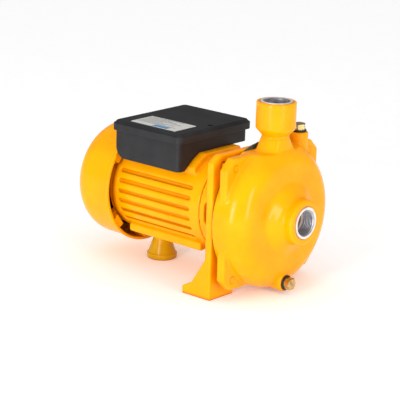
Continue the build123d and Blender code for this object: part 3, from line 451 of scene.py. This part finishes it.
@dataclass(frozen=True)
class Laminated(Finish):
    """Punched electrical steel in a stack: thin blue-grey sheets with a fine line between them.

    The real sheets are 0.5 mm; they are drawn 1 mm so that they show.
    """

    colour: str
    line: str
    sheet_mm: float = 1.0
    line_depth_mm: float = 0.06
    oxide_mm: float = 7.0

    def shade(self, tree: Tree, shader: Node, coords: Socket) -> None:
        """A ripple along the shaft, dark in its troughs, with faint oxide clouds."""
        inputs = {"Vector": coords, "Scale": per_band(self.sheet_mm)}
        sheets = add_node(tree, "TexWave", inputs).outputs["Fac"]
        oxide = noise(tree, coords, self.oxide_mm, 3.0)
        share = ramped(tree, sheets, (0.05, 0.35), (1.0, 0.0))
        coloured(tree, shader, share, self.colour, self.line)
        roughened(tree, shader, oxide, NOISE_SPAN, (0.34, 0.52))
        shader.inputs["Metallic"].default_value = 1.0
        embossed(tree, shader, [(sheets, self.line_depth_mm)])


@dataclass(frozen=True)
class Wound(Finish):
    """Enamelled copper wire in bundles: thin varnished strands side by side round the core.

    The real wire is 0.6 mm; the strands are drawn 1.2 mm so that they show.
    """

    colour: str
    gap: str
    strand_mm: float = 1.2
    strand_depth_mm: float = 0.25
    wander: float = 1.5
    varnish_mm: float = 2.5

    def shade(self, tree: Tree, shader: Node, coords: Socket) -> None:
        """Strand ripples by distance from the shaft and place along it, with a varnish coat."""
        around = turned_vector(tree, coords, Axle.SHAFT)
        inputs = {
            "Vector": around,
            "Scale": per_band(self.strand_mm),
            "Distortion": self.wander,
            "Detail": 1.0,
        }
        strands = add_node(tree, "TexWave", inputs, bands_direction="DIAGONAL").outputs["Fac"]
        share = ramped(tree, strands, (0.1, 0.5), (1.0, 0.0))
        coloured(tree, shader, share, self.colour, self.gap)
        roughened(tree, shader, noise(tree, coords, self.varnish_mm, 3.0), NOISE_SPAN, (0.28, 0.45))
        shader.inputs["Metallic"].default_value = 0.8
        shader.inputs["Coat Weight"].default_value = 0.5
        embossed(tree, shader, [(strands, self.strand_depth_mm)])


@dataclass(frozen=True)
class Pressed(Finish):
    """Soft pressed sheet, rubber, ceramic or carbon: no metal, matt, with specks of its filler."""

    colour: str
    speck: str
    roughness: float
    speck_mm: float = 0.8
    speck_depth_mm: float = 0.02
    refraction: float = 1.5
    gloss_coat: float = 0.0

    def shade(self, tree: Tree, shader: Node, coords: Socket) -> None:
        """Specked colour, with roughness and bump from the same specks."""
        specks = noise(tree, coords, self.speck_mm, 4.0)
        share = ramped(tree, specks, (0.45, 0.68), FULL)
        coloured(tree, shader, share, self.colour, self.speck)
        roughened(tree, shader, specks, NOISE_SPAN, (self.roughness - 0.08, self.roughness + 0.08))
        shader.inputs["IOR"].default_value = self.refraction
        shader.inputs["Coat Weight"].default_value = self.gloss_coat
        embossed(tree, shader, [(specks, self.speck_depth_mm)])


@dataclass(frozen=True)
class Foil(Finish):
    """Brushed aluminium foil label: a satin face with fine straight hairlines along the motor."""

    colour: str
    hairline: str
    line_mm: float = 0.5
    line_depth_mm: float = 0.004
    along: float = 0.02

    def shade(self, tree: Tree, shader: Node, coords: Socket) -> None:
        """Noise drawn out along X, fifty times where along is 0.02."""
        inputs = {"Vector": coords, "Scale": (self.along, 1.0, 1.0)}
        drawn_out = add_node(tree, "Mapping", inputs).outputs[0]
        lines = noise(tree, drawn_out, self.line_mm, 2.0)
        share = ramped(tree, lines, (0.4, 0.65), FULL)
        coloured(tree, shader, share, self.colour, self.hairline)
        roughened(tree, shader, lines, NOISE_SPAN, (0.38, 0.52))
        shader.inputs["Metallic"].default_value = 0.2
        embossed(tree, shader, [(lines, self.line_depth_mm)])


# Golden yellow machine enamel over grey iron sand castings: deep gloss over slow waves and grit.
CASTING_ENAMEL = Enamel(
    "yellow enamel on cast iron",
    "fba602",
    "f79d01",
    0.24,
    grit_mm=2.4,
    grit_depth_mm=0.05,
    wave_depth_mm=0.22,
)
# The same enamel over an extruded and a drawn shell: flatter and cleaner than on the castings.
SHEET_ENAMEL = Enamel(
    "yellow enamel on drawn steel",
    "fba902",
    "f8a101",
    0.22,
    wave_mm=30.0,
    wave_depth_mm=0.1,
)
# Thin, half covering coat on the rear foot, where the dark primer dulls the yellow to olive.
OLIVE_ENAMEL = Enamel(
    "thin olive enamel on steel",
    "d8a70c",
    "b98a0a",
    0.36,
    grit_mm=2.0,
    grit_depth_mm=0.04,
)
# ABS housing plastic, charcoal, spark-eroded grain.
CHARCOAL_ABS = Moulded("charcoal moulded ABS", "222224", "2b2b2d", 0.5)
# Glass-filled nylon of the fan, nearly black.
BLACK_NYLON = Moulded("black moulded nylon", "141415", "1c1c1d", 0.5, grain_mm=1.2)
# Off-white polypropylene can of the capacitor.
WHITE_POLYPROPYLENE = Moulded("off-white polypropylene", "d9d6cb", "e2dfd5", 0.4)
# Stainless port rings, bored and threaded on a lathe.
PORT_STEEL = Turned("turned stainless port ring", "efe6e0", "dccfc8", 0.4, Axle.SHAFT, metal=0.35)
PORT_STEEL_TOP = replace(PORT_STEEL, name="turned stainless top port ring", axle=Axle.DISCHARGE)
# The threads cut in the same rings: bare metal all through, so the flanks mirror the dark bore.
THREAD_STEEL = Turned("cut stainless thread", "d0d0d6", "b4b4bc", 0.4, Axle.SHAFT)
THREAD_STEEL_TOP = replace(THREAD_STEEL, name="cut stainless top thread", axle=Axle.DISCHARGE)
# Bright zinc plate on headed steel.
ZINC_PLATE = Plated("bright zinc plate", "b9bcbe", "9ea1a3", 0.3)
# Ground stainless shaft.
GROUND_STEEL = Turned(
    "ground stainless shaft",
    "c4c6c8",
    "aeb1b4",
    0.18,
    Axle.SHAFT,
    feed_mm=0.35,
    cut_depth_mm=0.002,
)
# Hardened and lapped bearing steel: the brightest metal inside.
BEARING_STEEL = Turned(
    "lapped bearing steel",
    "d0d2d4",
    "c0c3c6",
    0.1,
    Axle.SHAFT,
    feed_mm=0.3,
    cut_depth_mm=0.001,
)
# Free-cutting brass, turned from hexagon bar and left bare, a little tarnished.
PLUG_BRASS = Turned("turned brass of the fill plug", "d6bb80", "a48a5a", 0.27, Axle.FILL)
DRAIN_BRASS = replace(PLUG_BRASS, name="turned brass of the drain plug", axle=Axle.DRAIN)
# Sand cast brass impeller, rough between its turned rims.
CAST_BRASS = Cast("cast brass", "b98e45", "83602e", 0.42)
# Die cast aluminium of the rotor's end rings.
CAST_ALUMINIUM = Cast("die cast aluminium", "b4b6b8", "8d9092", 0.4, grit_mm=0.9, grit_depth_mm=0.03)
# Coated silicon steel sheet.
SILICON_STEEL = Laminated("stacked electrical steel", "5c636b", "2a2e33")
# Polyester enamelled copper, varnish dipped.
COPPER_ENAMEL = Wound("enamelled copper windings", "9a4a1e", "4b1f0d")
# Nitrile rubber, moulded, with a dull carbon bloom.
NITRILE = Pressed("moulded nitrile rubber", "161616", "232323", 0.6, speck_mm=1.0, refraction=1.52)
# Compressed fibre joint sheet, green-grey with pale fibres.
JOINT_FIBRE = Pressed(
    "compressed fibre joint sheet",
    "3c4a42",
    "5e6a60",
    0.75,
    speck_mm=1.4,
    speck_depth_mm=0.05,
)
# Ground alumina seal seat, ivory and slightly glossy.
ALUMINA = Pressed(
    "ground alumina",
    "e6e0d2",
    "d8d1c0",
    0.25,
    speck_mm=0.6,
    speck_depth_mm=0.003,
    refraction=1.76,
)
# Pressed carbon-graphite seal face, black with a soft sheen.
CARBON_GRAPHITE = Pressed("pressed carbon graphite", "17181a", "2b2c2f", 0.35, refraction=1.9)
# Silver label foil and its two printing inks.
LABEL_FOIL = Foil("brushed label foil", "e4e3df", "d4d3ce")
GREY_INK = Pressed("grey printing ink", "4b4d50", "5a5c60", 0.5, speck_depth_mm=0.002)
BLUE_INK = Pressed("blue printing ink", "3f8fc4", "3583b8", 0.4, speck_depth_mm=0.002, gloss_coat=0.3)
# Matt white vinyl laid as the studio floor; its specks are too broad to show as a pattern.
FLOOR_VINYL = Pressed(
    "matt white floor vinyl",
    "ffffff",
    "fcfcfc",
    0.85,
    speck_mm=40.0,
    speck_depth_mm=0.01,
)

SLOT_FINISHES: dict[str, Finish] = {
    "yellow_paint": SHEET_ENAMEL,
    "olive_paint": OLIVE_ENAMEL,
    "black_plastic": CHARCOAL_ABS,
    "fan_plastic": BLACK_NYLON,
    "beige_plastic": WHITE_POLYPROPYLENE,
    "port_steel": PORT_STEEL,
    "zinc_steel": ZINC_PLATE,
    "shaft_steel": GROUND_STEEL,
    "bearing_steel": BEARING_STEEL,
    "silicon_steel": SILICON_STEEL,
    "brass": CAST_BRASS,
    "black_rubber": NITRILE,
    "gasket_fibre": JOINT_FIBRE,
    "ceramic_white": ALUMINA,
    "carbon": CARBON_GRAPHITE,
    "cast_aluminium": CAST_ALUMINIUM,
    "copper_enamel": COPPER_ENAMEL,
    "nameplate_foil": LABEL_FOIL,
}
NODE_FINISHES: dict[str, Finish] = {
    "rear_shield": CASTING_ENAMEL,
    "casing_bolts": CASTING_ENAMEL,
    "casing_bolt_washers": CASTING_ENAMEL,
    "discharge_insert": PORT_STEEL_TOP,
    "fill_plug": PLUG_BRASS,
    "drain_plug": DRAIN_BRASS,
}


# ---------------------------------------------------------------- mesh helpers
def new_piece(
    name: str, points: np.ndarray, faces: np.ndarray, finish: Finish, smooth: bool
) -> bpy.types.Object:
    """Makes an object at the origin from points in mm and quads.

    Args:
        name: The piece's name.
        points: An (n, 3) array of places in millimetres.
        faces: An (m, 4) array of point numbers.
        finish: What the piece is finished with.
        smooth: Whether its faces are shaded as one curved surface.

    Returns:
        The linked object.
    """
    mesh = bpy.data.meshes.new(name)
    mesh.vertices.add(len(points))
    mesh.vertices.foreach_set("co", (points * MM).astype(np.float32).ravel())
    mesh.loops.add(faces.size)
    mesh.loops.foreach_set("vertex_index", faces.astype(np.int32).ravel())
    mesh.polygons.add(len(faces))
    mesh.polygons.foreach_set("loop_start", np.arange(0, faces.size, 4, dtype=np.int32))
    mesh.polygons.foreach_set("use_smooth", np.full(len(faces), smooth))
    mesh.update(calc_edges=True)
    mesh.validate()
    mesh.materials.append(finish.material())
    made = bpy.data.objects.new(name, mesh)
    bpy.context.scene.collection.objects.link(made)
    return made


def ring_faces(rows: int, columns: int) -> np.ndarray:
    """Quads of a grid whose rows and columns both close on themselves, as on a ring.

    Args:
        rows: Points the long way round.
        columns: Points round the section.

    Returns:
        A (rows * columns, 4) array of point numbers.
    """
    u, v = np.meshgrid(np.arange(rows), np.arange(columns), indexing="ij")
    up, right = (u + 1) % rows, (v + 1) % columns
    corners = [u * columns + v, up * columns + v, up * columns + right, u * columns + right]
    return np.stack(corners, axis=-1).reshape(-1, 4)


def outward(piece: bpy.types.Object) -> bpy.types.Object:
    """Turns every face of a closed piece to point outwards and returns the piece."""
    shell = bmesh.new()
    shell.from_mesh(piece.data)
    bmesh.ops.recalc_face_normals(shell, faces=shell.faces)
    shell.to_mesh(piece.data)
    shell.free()
    return piece


def plates(name: str, boxes: np.ndarray, finish: Finish) -> bpy.types.Object:
    """Makes flat plates, each a closed box, as one piece.

    The eight corners of a box are all mixes of its low and high x, y and z.

    Args:
        name: The piece's name.
        boxes: An (n, 6) array of low x, y, z and high x, y, z in millimetres.
        finish: What the plates are finished with.

    Returns:
        The linked object.
    """
    points = boxes[:, BOX_CORNERS].reshape(-1, 3)
    first_corners = len(BOX_CORNERS) * np.arange(len(boxes))
    faces = (BOX_SIDES[None] + first_corners[:, None, None]).reshape(-1, 4)
    return new_piece(name, points, faces, finish, smooth=False)


def merged_copy(node: str, name: str) -> bpy.types.Object:
    """Copies a CAD node's mesh and joins its loose triangles.

    Args:
        node: The CAD node.
        name: The copy's name.

    Returns:
        The linked copy, at the origin.
    """
    mesh = frame["nodes"][node].data.copy()
    mesh.name = name
    shell = bmesh.new()
    shell.from_mesh(mesh)
    bmesh.ops.remove_doubles(shell, verts=shell.verts, dist=MERGE_MM * MM)
    shell.to_mesh(mesh)
    shell.free()
    for layer in list(mesh.attributes):
        if layer.name in CAD_SHADING:
            mesh.attributes.remove(layer)
    made = bpy.data.objects.new(name, mesh)
    bpy.context.scene.collection.objects.link(made)
    return made


def applied(piece: bpy.types.Object) -> bpy.types.Object:
    """Bakes a piece's modifiers into its mesh and returns the piece."""
    graph = bpy.context.evaluated_depsgraph_get()
    made = bpy.data.meshes.new_from_object(piece.evaluated_get(graph))
    piece.modifiers.clear()
    piece.data = made
    return piece


def stand_in(piece: bpy.types.Object, node: str, finish: Finish) -> bpy.types.Object:
    """Dresses a piece, hides the CAD node it stands for, and moves it with that node's body.

    Args:
        piece: The Blender piece.
        node: The CAD node.
        finish: The piece's finish.

    Returns:
        The piece.
    """
    piece.data.materials.clear()
    piece.data.materials.append(finish.material())
    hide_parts(node)
    return riding_with(piece, node)


def riding_with(piece: bpy.types.Object, node: str) -> bpy.types.Object:
    """Moves a piece with the body of a CAD node."""
    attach(piece, BODY_OF[node])
    return piece


RECORD = frame["record"]
BODY_OF: dict[str, str] = {
    node: body for body, nodes in RECORD["behaviour"]["bodies"].items() for node in nodes
}
SLOT_OF: dict[str, str] = {part["node"]: part["material_slot"] for part in RECORD["subparts"]}


# ---------------------------------------------------------------- sub-assemblies
@dataclass
class Casting:
    """A sand casting whose edges are rounded by the mould.

    The CAD solid is rebuilt as even cells, then each point is drawn toward the mean of its
    neighbours, by the share pull, a few times. That rounds edges by about one cell and leaves
    flat walls flat.
    """

    node: str
    cell_mm: float
    rounds: int
    finish: Finish
    pull: float = 0.5

    def build(self) -> bpy.types.Object:
        """Makes the rounded copy in place of the CAD node.

        Returns:
            The new piece.
        """
        piece = merged_copy(self.node, f"{self.node}_cast")
        cells = piece.modifiers.new("cells", "REMESH")
        cells.mode = "VOXEL"
        cells.voxel_size = self.cell_mm * MM
        applied(piece)
        softened = piece.modifiers.new("softened", "SMOOTH")
        softened.factor = self.pull
        softened.iterations = self.rounds
        applied(piece)
        piece.data.polygons.foreach_set("use_smooth", np.full(len(piece.data.polygons), True))
        stand_in(piece, self.node, self.finish)
        log.info("%s: %d faces", piece.name, len(piece.data.polygons))
        return piece


@dataclass
class EasedPart:
    """A moulded or machined part whose sharp edges are lightly broken.

    Flat areas are joined to single faces first, and each edge that turns by more than the
    limit then gets a rounded strip.
    """

    node: str
    edge_mm: float
    finish: Finish
    limit_degrees: float = 32.0
    flat_degrees: float = 1.0
    segments: int = 2

    def build(self) -> bpy.types.Object:
        """Makes the eased copy in place of the CAD node.

        Returns:
            The new piece.
        """
        piece = merged_copy(self.node, f"{self.node}_eased")
        shell = bmesh.new()
        shell.from_mesh(piece.data)
        bmesh.ops.dissolve_limit(
            shell,
            angle_limit=math.radians(self.flat_degrees),
            verts=shell.verts,
            edges=shell.edges,
            delimit={"NORMAL"},
        )
        shell.to_mesh(piece.data)
        shell.free()
        piece.data.polygons.foreach_set("use_smooth", np.full(len(piece.data.polygons), True))
        strip = piece.modifiers.new("eased edges", "BEVEL")
        strip.width = self.edge_mm * MM
        strip.segments = self.segments
        strip.limit_method = "ANGLE"
        strip.angle_limit = math.radians(self.limit_degrees)
        strip.harden_normals = True
        applied(piece)
        stand_in(piece, self.node, self.finish)
        log.info("%s: %d faces", piece.name, len(piece.data.polygons))
        return piece


@dataclass
class PipeThread:
    """The female pipe thread of a port, a ridge that climbs round the bore.

    Its radius at angle a and depth s is the mean radius less half the thread depth times
    cos(2 pi (s / pitch - a / 2 pi)), flattened at roots and crests, so the ridge is one
    helix. Depth grows with the angle and away from the mouth, which makes that helix
    LEFT-handed. A real pipe thread is right-handed, and the record says so too; turning the
    sign of the angle in wave would mend it. The sleeve closes on itself behind the ridge,
    inside the port ring.
    """

    node: str
    axle: Axle
    mouth_mm: float
    major_radius: float = 16.62
    pitch: float = 2.309
    depth: float = 1.479
    length: float = 16.5
    lead_in: float = 1.2
    around: int = 96
    per_turn: int = 10
    steepness: float = 1.25
    overlap: float = 0.02
    wall: float = 0.35

    def build(self) -> bpy.types.Object:
        """Makes the threaded sleeve and lets it move with the port ring.

        Returns:
            The new piece.
        """
        steps = int(self.length / self.pitch * self.per_turn)
        angle = np.linspace(0, 2 * np.pi, self.around, endpoint=False)[:, None]
        inward = np.linspace(0, self.length, steps)[None, :]
        wave = np.cos(2 * np.pi * (inward / self.pitch - angle / (2 * np.pi)))
        form = np.clip(wave * self.steepness, -1, 1)
        fade = np.clip(np.minimum(inward, self.length - inward) / self.lead_in, 0, 1)
        radius = self.major_radius + self.overlap - self.depth * fade * (form + 1) / 2
        back = np.full((self.around, 1), self.major_radius + self.wall)
        radii = np.concatenate([back, radius, back], axis=1)
        mouth = np.zeros((self.around, 1))
        inner = np.broadcast_to(inward, radius.shape)
        depth = np.concatenate([mouth, inner, mouth + self.length], axis=1)
        turn = np.broadcast_to(angle, radii.shape)
        side = radii * np.cos(turn)
        up = radii * np.sin(turn)
        along = self.mouth_mm - depth
        direction, centre = self.axle.value
        if direction == "X":
            points = np.stack([along, side + centre[1], up + centre[2]], axis=-1)
        else:
            points = np.stack([side + centre[0], up + centre[1], along], axis=-1)
        points = points.reshape(-1, 3)
        faces = ring_faces(*radii.shape)
        finish = THREAD_STEEL if self.axle is Axle.SHAFT else THREAD_STEEL_TOP
        piece = outward(new_piece(f"{self.node}_thread", points, faces, finish, smooth=True))
        riding_with(piece, self.node)
        log.info("%s: %d faces", piece.name, len(piece.data.polygons))
        return piece


@dataclass
class PumpEnd:
    """The wet end: casing, bracket, port threads and plugs. The rest of it keeps its CAD mesh."""

    casing_cell_mm: float = 1.4
    casing_rounds: int = 5
    bracket_cell_mm: float = 1.5
    bracket_rounds: int = 4
    plug_edge_mm: float = 0.3
    suction_mouth_mm: float = 100.1
    discharge_mouth_mm: float = 236.1

    def build(self) -> None:
        """Builds the two castings, the two threads and the eased plugs."""
        Casting("pump_casing", self.casing_cell_mm, self.casing_rounds, CASTING_ENAMEL).build()
        Casting("bracket", self.bracket_cell_mm, self.bracket_rounds, CASTING_ENAMEL).build()
        PipeThread("suction_insert", Axle.SHAFT, self.suction_mouth_mm).build()
        PipeThread("discharge_insert", Axle.DISCHARGE, self.discharge_mouth_mm).build()
        EasedPart("fill_plug", self.plug_edge_mm, PLUG_BRASS).build()
        EasedPart("drain_plug", self.plug_edge_mm, DRAIN_BRASS).build()


@dataclass
class Motor:
    """The motor's ribbed housing. Its fan cover, rear foot and inner pieces keep their CAD mesh."""

    housing_cell_mm: float = 1.4
    housing_rounds: int = 2

    def build(self) -> None:
        """Builds the housing with its softened ribs."""
        Casting("motor_housing", self.housing_cell_mm, self.housing_rounds, SHEET_ENAMEL).build()


@dataclass
class TerminalBox:
    """The terminal box with its lid and the printed label."""

    edge_mm: float = 0.55
    label_inset: float = 3.0
    first_rule: float = 10.5
    rule_width: float = 1.0
    rule_rows: int = 8
    ink_height: float = 0.04
    ink_sunk: float = 0.02
    bar_length: float = 24.0
    bar_width: float = 8.0
    bar_back: float = 2.0
    bar_margin: float = 1.0
    rule_lengths: list[float] = field(
        default_factory=lambda: [0.9, 0.62, 0.8, 0.45, 0.86, 0.7, 0.55, 0.78]
    )

    def build(self) -> None:
        """Eases the mouldings' edges and prints the label."""
        EasedPart("terminal_box", self.edge_mm, CHARCOAL_ABS).build()
        EasedPart("terminal_box_lid", self.edge_mm, CHARCOAL_ABS).build()
        self.print_label()

    def print_label(self) -> None:
        """Lays plain rules of uneven length and one plain bar on the label.

        Rules are spaced evenly from first_rule to the far inset; each starts at the inset and
        runs for its share of the label's length. The bar starts bar_back short of the middle.
        """
        low, high = (np.array(painted_shade_colour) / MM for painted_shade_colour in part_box("nameplate"))
        face = high[2]
        rows = np.linspace(low[1] + self.first_rule, high[1] - self.label_inset, self.rule_rows)
        starts = np.full(self.rule_rows, low[0] + self.label_inset)
        room = high[0] - low[0] - 2 * self.label_inset
        ends = starts + room * np.array(self.rule_lengths)
        flat = np.full(self.rule_rows, face - self.ink_sunk)
        tops = flat + self.ink_sunk + self.ink_height
        boxes = np.stack([starts, rows, flat, ends, rows + self.rule_width, tops], axis=1)
        rules = plates("label_rules", boxes, GREY_INK)
        riding_with(rules, "nameplate")
        bar_start = (low[0] + high[0]) / 2 - self.bar_back
        bar_low = [bar_start, low[1] + self.bar_margin, face - self.ink_sunk]
        bar_high = [bar_start + self.bar_length, bar_low[1] + self.bar_width, face + self.ink_height]
        bar = plates("label_bar", np.array([bar_low + bar_high]), BLUE_INK)
        riding_with(bar, "nameplate")
        log.info("label: %d rules and a bar", self.rule_rows)


@dataclass(frozen=True)
class SoftBox:
    """A rectangular soft light that stands round the pump and faces it.

    Attributes:
        name: The light's name.
        azimuth: Degrees round from the -Y side toward +X.
        elevation: Degrees above the floor.
        distance: How far it stands from the point it faces, in mm.
        size: Its width and height in mm.
        watts: Its power.
    """

    name: str
    azimuth: float
    elevation: float
    distance: float
    size: tuple[float, float]
    watts: float

    def build(self, aim: Point) -> None:
        """Makes the light.

        Args:
            aim: The point that it faces, in mm.
        """
        lamp = bpy.data.lights.new(self.name, "AREA")
        lamp.shape = "RECTANGLE"
        lamp.size = self.size[0] * MM
        lamp.size_y = self.size[1] * MM
        lamp.energy = self.watts
        made = bpy.data.objects.new(self.name, lamp)
        bpy.context.scene.collection.objects.link(made)
        a = math.radians(self.azimuth)
        e = math.radians(self.elevation)
        back = np.array([math.sin(a) * math.cos(e), -math.cos(a) * math.cos(e), math.sin(e)])
        right = np.array([math.cos(a), math.sin(a), 0.0])
        place = np.array(aim) + back * self.distance
        made.matrix_world = placed(right, np.cross(back, right), back, place)


@dataclass
class Studio:
    """Floor, sky, soft lights and the camera. Lengths are in millimetres."""

    floor_half: float = 30000.0
    floor_glow: float = 0.13
    camera_place: Point = (1254.4, -1520.1, 663.4)
    camera_right: Point = (0.7488, 0.6622, 0.0284)
    camera_up: Point = (-0.2022, 0.1874, 0.9613)
    camera_back: Point = (0.6312, -0.7255, 0.2742)
    lens: float = 150.24
    aim: Point = (-60.0, 0.0, 110.0)
    sensor_width: float = 36.0
    far_clip_m: float = 100.0
    sky_strength: float = 0.86
    mirrored_sky_strength: float = 0.3
    lights: tuple[SoftBox, ...] = (
        SoftBox("left soft box", 10.0, 9.0, 1300.0, (380.0, 620.0), 9.0),
        SoftBox("right soft box", 78.0, 9.0, 1300.0, (240.0, 620.0), 4.5),
        SoftBox("top light", 30.0, 82.0, 1500.0, (1500.0, 1500.0), 0.8),
    )

    def build(self) -> None:
        """Makes the floor, the sky, two tall soft boxes, a top light and the camera."""
        bpy.context.scene.view_settings.view_transform = "Standard"
        self.floor()
        self.sky()
        for light in self.lights:
            light.build(self.aim)
        self.camera()

    def floor(self) -> None:
        """A plain square on z = 0, lit from below a little, as a light table is."""
        half = self.floor_half
        corners = np.array([[-half, -half, 0], [half, -half, 0], [half, half, 0], [-half, half, 0]])
        made = new_piece("floor", corners, np.array([[0, 1, 2, 3]]), FLOOR_VINYL, smooth=False)
        nodes = made.active_material.node_tree.nodes
        shader = next(n for n in nodes if n.type == "BSDF_PRINCIPLED")
        shader.inputs["Emission Color"].default_value = WHITE
        shader.inputs["Emission Strength"].default_value = self.floor_glow

    def sky(self) -> None:
        """Even white light from all round, dimmer in mirrors, as between the panels of a light tent."""
        world = bpy.data.worlds.new("white studio")
        world.use_nodes = True
        tree = world.node_tree
        back = tree.nodes["Background"]
        back.inputs["Color"].default_value = WHITE
        mirrored = add_node(tree, "LightPath").outputs["Is Glossy Ray"]
        level = ramped(tree, mirrored, FULL, (self.sky_strength, self.mirrored_sky_strength))
        tree.links.new(level, back.inputs["Strength"])
        bpy.context.scene.world = world

    def camera(self) -> None:
        """Sets the camera up at its place with its own roll."""
        lens = bpy.data.cameras.new("camera")
        lens.lens = self.lens
        lens.sensor_width = self.sensor_width
        lens.clip_end = self.far_clip_m
        made = bpy.data.objects.new("camera", lens)
        bpy.context.scene.collection.objects.link(made)
        axes = (np.array(v) for v in (self.camera_right, self.camera_up, self.camera_back))
        made.matrix_world = placed(*axes, np.array(self.camera_place))
        bpy.context.scene.camera = made


def placed(right: np.ndarray, up: np.ndarray, back: np.ndarray, place: np.ndarray) -> Matrix:
    """The matrix whose columns are three axes and a place in millimetres.

    Args:
        right: The object's own X direction.
        up: Its Y direction.
        back: Its Z direction.
        place: Where it stands, in mm.

    Returns:
        A four by four matrix in metres.
    """
    rows = np.eye(4)
    rows[:3] = np.column_stack([right, up, back, place * MM])
    return Matrix(rows.tolist())


def dress_nodes() -> None:
    """Gives every CAD node the finish of its own or of its slot."""
    for node, shown in frame["nodes"].items():
        finish = NODE_FINISHES.get(node, SLOT_FINISHES[SLOT_OF[node]])
        shown.data.materials.clear()
        shown.data.materials.append(finish.material())
    log.info("dressed %d nodes", len(frame["nodes"]))


def main() -> None:
    """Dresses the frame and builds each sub-assembly."""
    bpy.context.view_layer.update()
    dress_nodes()
    for assembly in (PumpEnd(), Motor(), TerminalBox(), Studio()):
        assembly.build()
        log.info("built %s", type(assembly).__name__)


if __name__ == "__main__":
    main()
